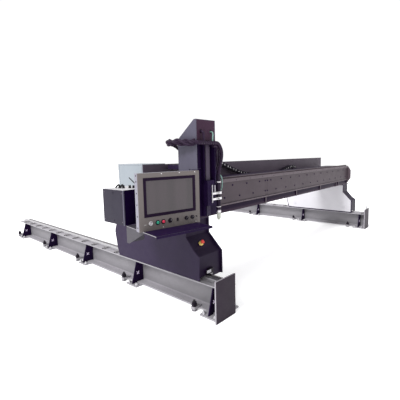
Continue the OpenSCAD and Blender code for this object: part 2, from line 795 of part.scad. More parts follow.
module column_shell() {
    tail = [[plate_back, column_heel], [plate_back, plate_high], [plate_y, plate_high],
        [plate_y, column_base]];
    full = concat(column_line, tail, [[column_front, column_base]]);
    cut = concat(column_line, tail, [[column_cutback, column_base], [column_cutback, column_knee],
        [column_front, column_knee]]);
    t = sheet_t;
    sheet = [column_line[0], column_line[1], column_line[2], column_line[3], column_line[3] - [t, 0],
        column_line[2] - [t, t / 2], column_line[1] - [t / 2, t], column_line[0] - [0, t]];
    color(sheet_pale) placed() {
        column_side(column_x, cut);
        column_side(column_x + column_w - column_side_t, full);
        along_x(column_inner - eps, column_inner_w + 2 * eps) polygon(sheet);
        block([column_inner - eps, plate_y + pair_gap, plate_high],
            [column_inner_w + 2 * eps, 8, cover_low + 20 - plate_high]);
    }
}

module column_cover() color(steel_dark) placed() difference() {
    block([column_inner, column_front, cover_low],
        [column_inner_w, sheet_t, column_top - sheet_t - cover_low]);
    for (x = entry_places) bolt_y(x, column_front + 10, entry_z, entry_r, 20);
}

module z_rail() color(steel_bare) placed()
    block([guide_x, spine_y - guide_t, guide_low], [guide_w, guide_t, guide_high - guide_low]);

module x_motor() {
    size = 80;
    box_h = 70;
    deck_z = x_bracket_z;
    color(rubber_black) placed() difference() {
        union() {
            block([x_pinion_x - 75, plate_back, deck_z], [150, 105, 10]);
            translate([x_pinion_x, x_pinion_y, 0]) {
                block([-size / 2, -size / 2, deck_z + 10 - eps], [size, size, box_h]);
                translate([0, 0, deck_z + 10 + box_h - 2 * eps]) cylinder(r = 36, h = 110);
            }
        }
        translate([x_pinion_x, x_pinion_y, deck_z - 1]) cylinder(r = x_shaft_r + fit_gap, h = 60);
    }
}

module x_pinion() color(steel_bare) placed() translate([x_pinion_x, x_pinion_y, beam_top + 2]) {
    linear_extrude(beam_rack_h - 4) rotate(-90) pinion_outline(beam_module, beam_pinion_teeth);
    translate([0, 0, beam_rack_h - 4 - eps]) cylinder(r = x_shaft_r, h = 60);
}

module chain_arm() color(steel_side) placed() {
    block([arm_x, 380, arm_z], [arm_w, chain_y + chain_w - 380, arm_h]);
}

module hose_bundle() color([0.20, 0.18, 0.22]) placed() {
    tube(bundle_route, lead_d, 10);
    tube(left_tail_route, tail_d, 8);
    tube(right_tail_route, tail_d, 8);
}

// Height slide with the torch
module z_slide() color(steel_dark) placed() difference() {
    block([slide_x, slide_y, slide_low], [slide_w, spine_y - slide_y - guide_gap, slide_high - slide_low]);
    block([guide_x - guide_gap, spine_y - guide_t - guide_gap, slide_low - 1],
        [guide_w + 2 * guide_gap, guide_t + 1, slide_high - slide_low + 2]);
}

module torch_holder() {
    ring_r = torch_r + 12;
    t = 12;
    y = slide_y - t;
    color(steel_bare) placed() difference() {
        union() {
            block([bar_x, y, 1087], [12, t, 185]);
            block([bar_x + 20, y, clamp_places[1] + clamp_h - eps], [8, t, 76]);
            for (z = clamp_places) {
                block([bar_x + eps, y, z], [torch_x - bar_x - torch_r, t, clamp_h]);
                translate([torch_x, torch_y, z]) cylinder(r = ring_r, h = clamp_h);
            }
        }
        translate([torch_x, torch_y, 1000]) cylinder(r = torch_r + fit_gap, h = 400);
    }
}

module torch() {
    r = torch_r;
    profile = [[0, 884], [6, 884], [14, 890], [20, 902], [22, 920], [22, 968], [25, 970], [25, 995],
        [r, 997], [r, 1284], [r + 6, 1286], [r + 6, 1300], [17, 1302], [17, 1330], [0, 1330]];
    color([0.16, 0.13, 0.18]) placed() translate([torch_x, torch_y, 0]) rotate_extrude() polygon(profile);
}

module torch_lead() color([0.18, 0.15, 0.20]) placed() tube(torch_lead_route, lead_d, 10);

module gas_hose() color([0.60, 0.75, 0.70]) placed() tube(gas_route, gas_d, 8);

// Operator console on its swivel
module console_shell() color([0.76, 0.75, 0.82]) placed() at_console() difference() {
    block([console_left, console_front + panel_t, shelf_top], [console_w, console_d - panel_t, console_h]);
    block([console_left + 3, console_front, shelf_top + 3], [console_w - 6, console_d - 3, console_h - 6]);
}

module panel_bore(u, r) bolt_y(u, console_front + panel_t + 5, control_row, r, 30);

module console_panel() color(panel_beige) placed() at_console() difference() {
    block([console_left, console_front, shelf_top], [console_w, panel_t, console_h]);
    block([window[0], console_front - 1, window[1]], [window[2], panel_t + 2, window[3]]);
    for (u = button_places) panel_bore(u, button_r + pair_gap);
    for (u = concat([key_place, selector_place], knob_places)) panel_bore(u, 5 + fit_gap);
}

module console_screen() color([0.16, 0.14, 0.20]) placed() at_console() {
    g = glass_border;
    difference() {
        block([window[0], console_front + 2, window[1]], [window[2], panel_t - 2, window[3]]);
        block([window[0] + g, console_front, window[1] + g], [window[2] - 2 * g, 3 * panel_t,
            window[3] - 2 * g]);
    }
    block([window[0], console_front + panel_t, window[1]], [window[2], 6, window[3]]);
}

module console_shelf() {
    w = shelf_w;
    rear = shelf_front + shelf_d;
    right = shelf_left + w;
    rim = 20;
    low = shelf_low;
    outline = [[shelf_left, shelf_front], [right, shelf_front], [right, -60], [right - 97, rear],
        [shelf_left, rear]];
    color(panel_beige) placed() at_console() difference() {
        union() {
            translate([0, 0, low]) linear_extrude(shelf_t) polygon(outline);
            block([shelf_left, shelf_front, shelf_top - rim], [w, 3, rim - 1]);
            along_x(shelf_left, 8) polygon([[gusset_front, low + eps], [rear, low + eps],
                [rear, gusset_low], [rear - 40, gusset_low]]);
            along_x(right - 8, 8) polygon([[gusset_front, low + eps], [-75, low + eps],
                [-75, gusset_low + 40], [-110, gusset_low + 40]]);
            block([shelf_left, rear - 8, gusset_low], [178, 8, low + eps - gusset_low]);
            translate([0, 0, shelf_top - eps]) cylinder(r = swivel_d / 2 + 14, h = 20);
        }
        translate([0, 0, low - 1]) cylinder(r = swivel_d / 2 + fit_gap, h = 40);
    }
}

module ring_y(u, z, outer, inner, h) difference() {
    bolt_y(u, console_front, z, outer, h);
    bolt_y(u, console_front + 1, z, inner, h + 2);
}

module console_trim() color(rubber_black) placed() at_console() {
    for (u = button_places) ring_y(u, control_row, button_r + 5, button_r + pair_gap, 3);
    bolt_y(console_left + 57, console_front, control_row, 11, 7);
    block([bracket_place, console_front - 14, control_row - 14], [20, 14, 28]);
    bolt_y(console_right - 41, console_front, control_row, 7, 6);
}

module push_button(u) translate([0, 0, 0]) bolt_y(u, console_front + 20, control_row, button_r, 30);

module turning_knob(u, r, h) {
    bolt_y(u, console_front + 16, control_row, 5, 20);
    bolt_y(u, console_front - pair_gap, control_row, r, h);
}

module green_button() color([0.20, 0.60, 0.30]) placed() at_console() push_button(button_places[0]);

module red_button() color([0.75, 0.15, 0.15]) placed() at_console() push_button(button_places[1]);

module key_switch() color(steel_bare) placed() at_console() {
    turning_knob(key_place, 11, 6);
    block([key_place - 2, console_front - 30, control_row - 9], [4, 30 - 6, 18]);
}

module selector_switch() color(rubber_black) placed() at_console() {
    turning_knob(selector_place, 14, 6);
    block([selector_place - 4, console_front - 20, control_row - 13], [8, 20 - 6, 26]);
}

module feed_knob() color(rubber_black) placed() at_console() turning_knob(knob_places[0], 15, 16);

module height_knob() color(rubber_black) placed() at_console() turning_knob(knob_places[1], 15, 16);

rail_beams();
rail_gussets();
foot_plates();
floor_anchors();
levelling_jacks();
end_plates();
guide_bars();
rail_racks();
rail_clips();
carriage_sides();
carriage_covers();
carriage_tops();
motor_mounts();
wheel_axles();
drive_motors();
beam_box();
beam_face();
beam_guides();
beam_rack();
beam_end_plates();
beam_bolts();
cable_tray();
drag_chain();
cabinet_shell();
cabinet_cover();
side_brackets();
cable_glands();
power_cabinet();
nose_fittings();
front_wheels();
rear_wheels();
near_pinion();
far_pinion();
cabinet_door();
estop_button();
carriage_plate();
guide_blocks();
column_shell();
column_cover();
z_rail();
x_motor();
chain_arm();
hose_bundle();
x_pinion();
z_slide();
torch_holder();
torch();
torch_lead();
gas_hose();
console_shell();
console_panel();
console_screen();
console_shelf();
console_trim();
green_button();
red_button();
key_switch();
selector_switch();
feed_knob();
height_knob();
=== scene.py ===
"""Dresses the plasma cutting gantry: camera, hoses, materials, detailed pieces and light."""

import json
import math
from itertools import product

import bmesh
import bpy
from mathutils import Matrix, Vector


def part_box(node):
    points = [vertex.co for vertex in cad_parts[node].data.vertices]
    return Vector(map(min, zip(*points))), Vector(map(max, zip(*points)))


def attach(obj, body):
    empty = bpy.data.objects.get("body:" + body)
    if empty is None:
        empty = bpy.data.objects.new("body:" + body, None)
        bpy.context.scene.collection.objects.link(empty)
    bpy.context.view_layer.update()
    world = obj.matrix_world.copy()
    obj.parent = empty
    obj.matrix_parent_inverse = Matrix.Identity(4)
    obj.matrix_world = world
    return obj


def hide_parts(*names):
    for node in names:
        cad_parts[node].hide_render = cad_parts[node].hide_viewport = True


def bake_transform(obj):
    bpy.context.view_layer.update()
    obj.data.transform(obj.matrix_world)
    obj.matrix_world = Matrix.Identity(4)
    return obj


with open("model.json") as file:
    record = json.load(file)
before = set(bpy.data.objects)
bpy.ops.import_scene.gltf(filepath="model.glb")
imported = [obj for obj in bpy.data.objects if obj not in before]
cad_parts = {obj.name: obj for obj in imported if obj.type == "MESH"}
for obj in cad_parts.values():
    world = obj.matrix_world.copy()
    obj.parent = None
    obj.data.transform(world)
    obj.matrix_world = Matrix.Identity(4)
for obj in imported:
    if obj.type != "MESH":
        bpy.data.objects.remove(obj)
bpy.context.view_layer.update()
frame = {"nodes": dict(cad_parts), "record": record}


def mm(value):
    return value / 1000


# The machine is laid out in millimetres from the near rail's centre plane, as in the part's source.
# The rails' corner in the frame tells where the layout's zero lies.
RAIL_HALF_WIDTH = 100
RAIL_FRONT = -130
RAIL_TOP = 294
RAIL_GAUGE = 4740
RAILS = (0, RAIL_GAUGE)
RAIL_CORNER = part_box("rail_beams")[0]
ORIGIN = Vector((RAIL_CORNER[0] + mm(RAIL_HALF_WIDTH), RAIL_CORNER[1] - mm(RAIL_FRONT), 0.0))
UP = Vector((0, 0, 1))
LEFTWARD = Vector((-1, 0, 0))


def spot(x, y, z):
    """A point of the machine's layout, in millimetres, as a place in the frame."""
    return ORIGIN + Vector((x, y, z)) / 1000


def placed(name, data):
    """A new object in the scene."""
    thing = bpy.data.objects.new(name.replace(" ", "_"), data)
    bpy.context.collection.objects.link(thing)
    return thing


# Camera, solved from the photograph's straight edges

CAMERA_PLACE = (-2326.5, -1938, 1563)
CAMERA_YAW = math.radians(48.63)
CAMERA_PITCH = math.radians(6.0)
CAMERA_ROLL = math.radians(-1.14)
CAMERA_LENS = 28.23
CAMERA_SHIFT = (-0.0223, -0.0271)


def make_camera():
    data = bpy.data.cameras.new("camera")
    data.lens = CAMERA_LENS
    data.sensor_width = 36
    data.shift_x, data.shift_y = CAMERA_SHIFT
    data.clip_end = 100
    camera = placed("camera", data)
    camera.matrix_world = (Matrix.Translation(spot(*CAMERA_PLACE)) @ Matrix.Rotation(-CAMERA_YAW, 4, "Z")
                           @ Matrix.Rotation(math.pi / 2 - CAMERA_PITCH, 4, "X")
                           @ Matrix.Rotation(CAMERA_ROLL, 4, "Z"))
    bpy.context.scene.camera = camera


# Materials

# The sockets of a Mix node that blends colours share their names with others, so they go by number
MIX_FIRST, MIX_SECOND, MIX_RESULT = 6, 7, 2


class Shader:
    """A node material that is built up step by step, on the object's own coordinates."""

    def __init__(self, name, colour, roughness, metallic=0.0, sheen=0.5):
        self.material = bpy.data.materials.new(name)
        self.material.use_nodes = True
        self.tree = self.material.node_tree
        self.surface = self.tree.nodes["Principled BSDF"]
        self.set("Base Color", (*colour, 1))
        self.set("Roughness", roughness)
        self.set("Metallic", metallic)
        self.set("Specular IOR Level", sheen)
        self.place = self.tree.nodes.new("ShaderNodeTexCoord").outputs["Object"]

    def set(self, socket, value):
        self.surface.inputs[socket].default_value = value

    def node(self, kind, **values):
        """A new node, with values for its sockets and its settings."""
        made = self.tree.nodes.new(kind)
        for name, value in values.items():
            if name in made.inputs:
                made.inputs[name].default_value = value
            else:
                setattr(made, name, value)
        return made

    def link(self, start, end):
        self.tree.links.new(start, end)

    def scaled(self, scale):
        mapping = self.node("ShaderNodeMapping", Scale=scale)
        self.link(self.place, mapping.inputs["Vector"])
        return mapping.outputs["Vector"]

    def noise(self, scale, detail=3.0, stretch=(1, 1, 1), roughness=0.5):
        noise = self.node("ShaderNodeTexNoise", Scale=scale, Detail=detail, Roughness=roughness)
        self.link(self.scaled(stretch), noise.inputs["Vector"])
        return noise.outputs["Fac"]

    def height(self):
        """The height above the floor, in metres."""
        parts = self.node("ShaderNodeSeparateXYZ")
        self.link(self.place, parts.inputs["Vector"])
        return parts.outputs["Z"]

    def ramp(self, factor, stops):
        ramp = self.node("ShaderNodeValToRGB")
        elements = ramp.color_ramp.elements
        while len(elements) < len(stops):
            elements.new(0.5)
        for element, (position, colour) in zip(elements, stops):
            element.position = position
            element.color = (*colour, 1)
        self.link(factor, ramp.inputs["Fac"])
        return ramp.outputs["Color"]

    def shades(self, factor, colour, *stops):
        """Darker and lighter shades of a colour, from stops of (position, brightness)."""
        return self.ramp(factor, [(at, [min(1.0, channel * by) for channel in colour]) for at, by in stops])

    def multiplied(self, first, second):
        blend = self.node("ShaderNodeMix", data_type="RGBA", blend_type="MULTIPLY")
        blend.inputs["Factor"].default_value = 1.0
        self.link(first, blend.inputs[MIX_FIRST])
        self.link(second, blend.inputs[MIX_SECOND])
        return blend.outputs[MIX_RESULT]

    def colour(self, output):
        self.link(output, self.surface.inputs["Base Color"])

    def spanned(self, factor, start, end, low=0.0, high=1.0):
        """Takes what lies from start to end to low and high."""
        span = self.node("ShaderNodeMapRange")
        for socket, value in (("From Min", start), ("From Max", end), ("To Min", low), ("To Max", high)):
            span.inputs[socket].default_value = value
        self.link(factor, span.inputs["Value"])
        return span.outputs["Result"]

    def rough(self, factor, low, high):
        self.link(self.spanned(factor, 0, 1, low, high), self.surface.inputs["Roughness"])

    def bump(self, height, strength, distance):
        bump = self.node("ShaderNodeBump", Strength=strength, Distance=distance)
        self.link(height, bump.inputs["Height"])
        self.link(bump.outputs["Normal"], self.surface.inputs["Normal"])


def paint(name, colour, roughness=0.5, mottle=0.1, sheen=0.5):
    """Sprayed paint: a slow mottle, an uneven gloss and the fine skin of orange peel."""
    made = Shader(name, colour, roughness, sheen=sheen)
    slow = made.noise(3.0, detail=4.0)
    made.colour(made.shades(slow, colour, (0.30, 1 - mottle), (0.55, 1), (0.75, 1 + mottle)))
    made.rough(made.noise(14.0, detail=5.0), roughness - 0.08, roughness + 0.10)
    made.bump(made.noise(900, detail=2.0), strength=0.12, distance=0.0004)
    return made.material


def graded_paint(name, upper, lower, level, sheen=0.2):
    """Paint that goes from a lower to an upper shade round a level, in metres above the floor."""
    made = Shader(name, upper, roughness=0.45, sheen=sheen)
    grade = made.spanned(made.height(), level - 0.02, level + 0.02)
    made.colour(made.ramp(grade, [(0.0, lower), (1.0, upper)]))
    return made.material


def ground_metal(name, colour, roughness=0.3, stretch=(1, 60, 60)):
    """Ground or drawn metal with fine lines along the work and some dark streaks."""
    made = Shader(name, colour, roughness, metallic=0.9)
    lines = made.noise(18.0, detail=6.0, stretch=stretch)
    made.colour(made.shades(lines, colour, (0.2, 0.7), (0.5, 1), (0.8, 1.12)))
    made.rough(lines, roughness - 0.08, roughness + 0.14)
    made.bump(lines, strength=0.10, distance=0.0003)
    return made.material


def mill_scale(name, colour):
    """Hot rolled section: a matte patchy scale, the web in painted shade and the flanges' lit tops in
    painted highlight.
    """
    made = Shader(name, colour, roughness=0.6, metallic=0.25)
    patches = made.noise(6.0, detail=8.0, stretch=(1, 0.5, 1), roughness=0.65)
    scale = made.shades(patches, colour, (0.30, 0.90), (0.52, 1), (0.72, 1.10))
    # Painted light by height: the web in painted shade, the flanges' tops in painted highlight
    lower_flange, web, upper_flange = (1, 1, 1), (0.62, 0.62, 0.62), (0.95, 0.95, 0.95)
    bands = made.ramp(made.height(), [
        (0.042, lower_flange), (0.048, web), (0.270, web), (0.278, upper_flange)])
    made.colour(made.multiplied(scale, bands))
    made.rough(made.noise(30.0, detail=5.0), 0.48, 0.72)
    made.bump(made.noise(260.0, detail=6.0), strength=0.25, distance=0.0008)
    return made.material


def moulded(name, colour, roughness=0.4, sheen=0.12):
    """Moulded plastic with a fine spark-eroded grain."""
    made = Shader(name, colour, roughness, sheen=sheen)
    made.colour(made.shades(made.noise(20.0), colour, (0.35, 0.9), (0.65, 1.08)))
    made.rough(made.noise(60.0, detail=2.0), roughness - 0.06, roughness + 0.08)
    made.bump(made.noise(1400, detail=2.0), strength=0.15, distance=0.0003)
    return made.material


def screen_glass(name, colour):
    """A dark display behind glass with upright bands."""
    made = Shader(name, colour, roughness=0.12, sheen=0.4)
    bands = made.noise(9.0, detail=1.0, stretch=(1, 1, 0.02))
    made.colour(made.shades(bands, colour, (0.35, 0.82), (0.5, 1), (0.66, 1.2)))
    made.set("Coat Weight", 0.25)
    made.set("Coat Roughness", 0.05)
    return made.material


def rubber(name, colour, roughness):
    """The mottled, grainy cover of a hose."""
    made = Shader(name, colour, roughness, sheen=0.12)
    made.colour(made.shades(made.noise(40.0, detail=4.0), colour, (0.3, 0.8), (0.7, 1.25)))
    made.bump(made.noise(500.0), strength=0.2, distance=0.0005)
    return made.material


FINISHES = {
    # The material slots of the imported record
    "rail_steel": mill_scale("rail steel", (0.300, 0.288, 0.312)),
    "dark_paint": paint("dark purple grey paint", (0.010, 0.0035, 0.024), mottle=0.12, sheen=0.06),
    "side_paint": paint("carriage grey paint", (0.018, 0.010, 0.033), mottle=0.12, sheen=0.15),
    "bare_steel": ground_metal("bare steel", (0.55, 0.54, 0.56)),
    "beam_paint": paint("beam grey paint", (0.048, 0.034, 0.043), sheen=0.2),
    "motor_black": paint("motor black paint", (0.014, 0.012, 0.016), roughness=0.4, mottle=0.12, sheen=0.3),
    "chain_plastic": moulded("chain plastic", (0.010, 0.007, 0.014), roughness=0.5),
    "gland_plastic": moulded("gland plastic", (0.012, 0.012, 0.014)),
    "pale_paint": paint("cabinet pale paint", (0.235, 0.262, 0.290), roughness=0.45, mottle=0.05, sheen=0.3),
    "nose_yellow": moulded("stop base yellow", (0.66, 0.50, 0.16)),
    "stop_red": moulded("stop red", (0.60, 0.06, 0.05), roughness=0.3),
    "hose_wrap": rubber("hose wrap", (0.017, 0.008, 0.022), roughness=0.5),
    "gas_green": rubber("gas hose green", (0.15, 0.25, 0.225), roughness=0.4),
    "torch_black": moulded("torch black", (0.012, 0.006, 0.018), roughness=0.36),
    "console_sheet": paint("console side paint", (0.172, 0.166, 0.205), roughness=0.45, mottle=0.04),
    "console_beige": paint("console beige paint", (0.118, 0.102, 0.100), mottle=0.05, sheen=0.25),
    "screen_dark": screen_glass("screen glass", (0.027, 0.018, 0.023)),
    "trim_black": moulded("trim black", (0.008, 0.005, 0.011)),
    "button_green": moulded("button green", (0.03, 0.26, 0.17), roughness=0.3),
    "button_red": moulded("button red", (0.62, 0.04, 0.09), roughness=0.3),
    # Finer finishes, for single nodes and pieces
    "column": paint("column grey paint", (0.066, 0.061, 0.090), roughness=0.45, mottle=0.08, sheen=0.25),
    "guide": paint("guide band paint", (0.076, 0.056, 0.068), mottle=0.08, sheen=0.3),
    "strip": graded_paint("height guide grey", (0.046, 0.034, 0.056), (0.010, 0.004, 0.022), level=1.318),
    "hollow": graded_paint("beam box paint", (0.010, 0.004, 0.016), (0.040, 0.026, 0.040), level=0.925,
                           sheen=0.04),
    "tray": paint("tray grey paint", (0.080, 0.062, 0.086), sheen=0.15),
    "pin": paint("chain pin steel", (0.80, 0.77, 0.80), roughness=0.4, mottle=0.05),
    "cap": moulded("torch cap", (0.36, 0.375, 0.33), roughness=0.35),
    "chrome": ground_metal("clamp aluminium", (0.60, 0.58, 0.60)),
    "white": moulded("white ring", (0.55, 0.52, 0.54)),
    "bezel": moulded("screen bezel", (0.011, 0.005, 0.016), roughness=0.6, sheen=0.04),
    "panel": paint("carriage inner panel", (0.50, 0.49, 0.52), mottle=0.05),
    # Bare cut steel on the rails' end plates, also used as a painted highlight on the shelf's left edge
    "cut_edge_and_highlight": paint("cut steel edge and highlight", (0.24, 0.225, 0.25), roughness=0.45),
    "foot": paint("foot plate steel", (0.26, 0.25, 0.27), mottle=0.15),
    "bolt": paint("bolt zinc", (0.55, 0.47, 0.62), roughness=0.4, mottle=0.05),
    "bar": ground_metal("clamp bar steel", (0.42, 0.40, 0.43), roughness=0.35, stretch=(60, 60, 1)),
    "cover": paint("column cover paint", (0.034, 0.013, 0.030), sheen=0.12),
    "cabinet": paint("cabinet grey paint", (0.013, 0.010, 0.022), sheen=0.2),
    "lens": paint("lamp lens", (0.26, 0.25, 0.25), roughness=0.4, mottle=0.05),
    "nose": paint("nose cover paint", (0.009, 0.003, 0.018), sheen=0.12),
    "end": paint("end plate paint", (0.012, 0.005, 0.014), sheen=0.15),
    "shelf": paint("shelf grey paint", (0.050, 0.046, 0.056), sheen=0.15),
    "rack": paint("rack steel", (0.20, 0.19, 0.20)),
    # The cabinet's body in a darker copy of its paint, as painted shade on its shaded faces
    "cabinet_shade": paint("shaded cabinet paint", (0.006, 0.001, 0.020), roughness=0.6, sheen=0.04),
    "lid": paint("cabinet lid paint", (0.42, 0.41, 0.43), roughness=0.45, mottle=0.05),
}

# The CAD nodes that take a finer finish than their slot's
FINER = {
    "column": ["column_shell"],
    "guide": ["beam_guides", "beam_rack", "beam_end_plates"],
    "strip": ["z_rail"],
    "tray": ["cable_tray"],
    "foot": ["foot_plates", "levelling_jacks"],
    "shelf": ["console_shelf"],
    "end": ["end_plates"],
    "nose": ["carriage_covers"],
    "rack": ["rail_racks", "rail_clips"],
    "hollow": ["beam_box"],
    "cabinet": ["cabinet_cover"],
    "cabinet_shade": ["cabinet_shell"],
    "cover": ["column_cover"],
}


def dress_frame():
    """Gives every CAD node the finish of its slot, or a finer one of its own."""
    finishes = {part["node"]: part["material_slot"] for part in frame["record"]["subparts"]}
    for finish, nodes in FINER.items():
        finishes.update({node: finish for node in nodes})
    for node, thing in frame["nodes"].items():
        thing.data.materials.clear()
        thing.data.materials.append(FINISHES[finishes[node]])


# Mesh helpers

HEX = 6
SMALL_ROUND = 16


def piece(name, bm, body, finishes, replaces=(), smooth=False):
    """Makes an object of a bmesh, with finishes given by name, and lets it ride on a body."""
    mesh = bpy.data.meshes.new(name)
    bmesh.ops.recalc_face_normals(bm, faces=bm.faces)
    bm.to_mesh(mesh)
    bm.free()
    for finish in finishes:
        mesh.materials.append(FINISHES[finish])
    thing = placed(name, mesh)
    if smooth:
        mesh.shade_smooth()
    if body:
        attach(thing, body)
    if replaces:
        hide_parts(*replaces)
    return thing


class Work:
    """A mesh of shapes in the layout's millimetres, which a turn takes round the layout's zero."""

    def __init__(self, *finishes, turn=None):
        self.bm = bmesh.new()
        self.finishes = finishes
        self.turn = turn

    def corners_since(self, before):
        return list({vert for face in self.bm.faces if face not in before for vert in face.verts})

    def settle(self, before, finish=None):
        """Takes the faces made since before to the frame and gives them their finish."""
        verts = self.corners_since(before)
        if self.turn:
            bmesh.ops.transform(self.bm, matrix=self.turn, verts=verts)
        bmesh.ops.translate(self.bm, verts=verts, vec=ORIGIN)
        index = self.finishes.index(finish) if finish else 0
        for face in self.bm.faces:
            if face not in before:
                face.material_index = index

    def block(self, low, high, bevel=0.0, finish=None):
        """A box between two corners, with bevelled edges."""
        before = set(self.bm.faces)
        verts = bmesh.ops.create_cube(self.bm, size=1)["verts"]
        low, high = Vector(low), Vector(high)
        size, middle = high - low, (low + high) / 2
        bmesh.ops.scale(self.bm, verts=verts, vec=size / 1000)
        if bevel:
            edges = list({edge for vert in verts for edge in vert.link_edges})
            bmesh.ops.bevel(self.bm, geom=edges, offset=mm(bevel), affect="EDGES", segments=2,
                            profile=0.5, material=-1)
            verts = self.corners_since(before)
        bmesh.ops.translate(self.bm, verts=verts, vec=middle / 1000)
        self.settle(before, finish)

    def rod(self, start, end, radius, sides=SMALL_ROUND, finish=None):
        """A round or many-sided bar."""
        before = set(self.bm.faces)
        start, end = Vector(start) / 1000, Vector(end) / 1000
        along = end - start
        verts = bmesh.ops.create_cone(self.bm, cap_ends=True, segments=sides, radius1=mm(radius),
                                      radius2=mm(radius), depth=along.length)["verts"]
        aim = along.to_track_quat("Z", "Y").to_matrix().to_4x4()
        bmesh.ops.transform(self.bm, matrix=Matrix.Translation((start + end) / 2) @ aim, verts=verts)
        self.settle(before, finish)

    def lathe(self, profile, base, axis=UP, steps=32, finish=None):
        """A profile of (radius, height) points, spun round an axis through base."""
        before = set(self.bm.faces)
        verts = [self.bm.verts.new((mm(radius), 0, mm(height))) for radius, height in profile]
        edges = [self.bm.edges.new(pair) for pair in zip(verts, verts[1:])]
        bmesh.ops.spin(self.bm, geom=verts + edges, cent=(0, 0, 0), axis=(0, 0, 1), dvec=(0, 0, 0),
                       angle=math.tau, steps=steps, use_merge=True)
        bmesh.ops.remove_doubles(self.bm, verts=self.corners_since(before), dist=1e-6)
        aim = Vector(axis).normalized().to_track_quat("Z", "Y").to_matrix().to_4x4()
        bmesh.ops.transform(self.bm, matrix=Matrix.Translation(Vector(base) / 1000) @ aim,
                            verts=self.corners_since(before))
        self.settle(before, finish)

    def plate(self, outline, low, high):
        """A flat outline of (y, z) points, drawn out along x from low to high."""
        before = set(self.bm.faces)
        face = self.bm.faces.new([self.bm.verts.new(Vector((low, y, z)) / 1000) for y, z in outline])
        grown = bmesh.ops.extrude_face_region(self.bm, geom=[face])["geom"]
        top = [item for item in grown if isinstance(item, bmesh.types.BMVert)]
        bmesh.ops.translate(self.bm, verts=top, vec=(mm(high - low), 0, 0))
        self.settle(before)

    def done(self, name, body, replaces=(), smooth=False):
        return piece(name, self.bm, body, self.finishes, replaces, smooth)


# Hoses

THICK_STEPS = 14
THIN_STEPS = 8


def smooth_route(points, steps):
    """A smooth curve through given points of the layout, as places in the frame."""
    path = [spot(*point) for point in points]
    last = len(path) - 1
    made = []
    for i in range(last):
        before, start, end, after = path[max(i - 1, 0)], path[i], path[i + 1], path[min(i + 2, last)]
        for k in range(steps):
            t = k / steps
            made.append(0.5 * (2 * start + (end - before) * t
                               + (2 * before - 5 * start + 4 * end - after) * t * t
                               + (3 * start - before - 3 * end + after) * t * t * t))
    made.append(path[-1])
    return made


def route_length(path):
    return sum((b - a).length for a, b in zip(path, path[1:]))


def route_frames(path):
    """For each point: its tangent and two directions across it, carried along without twist."""
    frames, across = [], None
    for i, point in enumerate(path):
        tangent = (path[min(i + 1, len(path) - 1)] - path[max(i - 1, 0)]).normalized()
        if across is None:
            across = tangent.cross(Vector((0, 1, 0)) if abs(tangent.z) > 0.9 else UP).normalized()
        across = (across - across.dot(tangent) * tangent).normalized()
        frames.append((point, tangent, across, tangent.cross(across)))
    return frames


def windings(path, pitch, phase=0.0):
    """For each point: its tangent and a direction across it that winds round the path."""
    walked, last = 0.0, path[0]
    for point, tangent, u, v in route_frames(path):
        walked += (point - last).length
        last = point
        angle = phase + math.tau * walked / pitch
        yield point, tangent, math.cos(angle) * u + math.sin(angle) * v


def tube_curve(name, path, diameter, finish="hose_wrap", body="torch_carriage"):
    """A hose as a curve of one spline."""
    data = bpy.data.curves.new(name, "CURVE")
    data.dimensions = "3D"
    data.bevel_depth = diameter / 2
    data.bevel_resolution = 4
    data.use_fill_caps = True
    spline = data.splines.new("POLY")
    spline.points.add(len(path) - 1)
    for point, place in zip(spline.points, path):
        point.co = (*place, 1)
    data.materials.append(FINISHES[finish])
    hose = placed(name, data)
    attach(hose, body)
    return hose


def tube_mesh(name, path, diameter, sides=14):
    """A hose as a mesh."""
    bm = bmesh.new()
    angles = [math.tau * k / sides for k in range(sides)]
    rings = [[bm.verts.new(point + diameter / 2 * (math.cos(angle) * u + math.sin(angle) * v))
              for angle in angles] for point, _, u, v in route_frames(path)]
    for a, b in zip(rings, rings[1:]):
        for k in range(sides):
            bm.faces.new((a[k], a[(k + 1) % sides], b[(k + 1) % sides], b[k]))
    bm.faces.new(rings[0])
    bm.faces.new(rings[-1])
    return piece(name, bm, None, ["hose_wrap"], smooth=True)


TAIL_D = {"left": 0.024, "right": 0.014}
GAS_D = 0.012
INNER_D = 0.030

# The bundle and the lead are a core with a flat strip wound round it
CORE_D = 0.038
WRAP_PITCH = 0.034
WRAP_WIDTH = 0.024
WRAP_THICK = 0.0022
WRAP_PROUD, WRAP_FLUSH = 1, -1


def wrap_strip(name, path, body, side):
    """The strip round a core, which stands proud of it or lies flush with it."""
    bm = bmesh.new()
    lower, upper = [], []
    for point, tangent, out in windings(path, WRAP_PITCH):
        middle = point + out * CORE_D / 2
        lower.append(bm.verts.new(middle - tangent * WRAP_WIDTH / 2))
        upper.append(bm.verts.new(middle + tangent * WRAP_WIDTH / 2))
    for k in range(len(path) - 1):
        bm.faces.new((lower[k], lower[k + 1], upper[k + 1], upper[k]))
    strip = piece(name, bm, body, ["hose_wrap"], smooth=True)
    shell = strip.modifiers.new("thickness", "SOLIDIFY")
    shell.thickness = WRAP_THICK
    shell.offset = side
    return strip


BUNDLE_ROUTE = [
    (178, 640, 1470), (178, 640, 1510), (176, 640, 1550), (164, 636, 1588), (130, 622, 1618),
    (80, 602, 1645), (20, 580, 1668), (-50, 552, 1688), (-120, 520, 1700), (-180, 480, 1706),
    (-212, 430, 1706), (-210, 380, 1706), (-192, 320, 1704), (-175, 250, 1702), (-168, 190, 1700),
    (-158, 138, 1698), (-122, 118, 1696), (-60, 120, 1694), (10, 120, 1694), (70, 120, 1695),
    (120, 120, 1695),
]
TAIL_DROP = [(172, 1806), (150, 1806), (134, 1802), (123, 1791), (120, 1774), (120, 1750), (120, 1713)]
TAIL_X = {"left": [-56, -56, -56, -55, -53, -50, -48], "right": [89, 89, 89, 88, 86, 83, 80]}
STRAND_D = (0.028, 0.022, 0.018)
STRAND_REACH = 0.029
STRAND_PITCH = 0.30


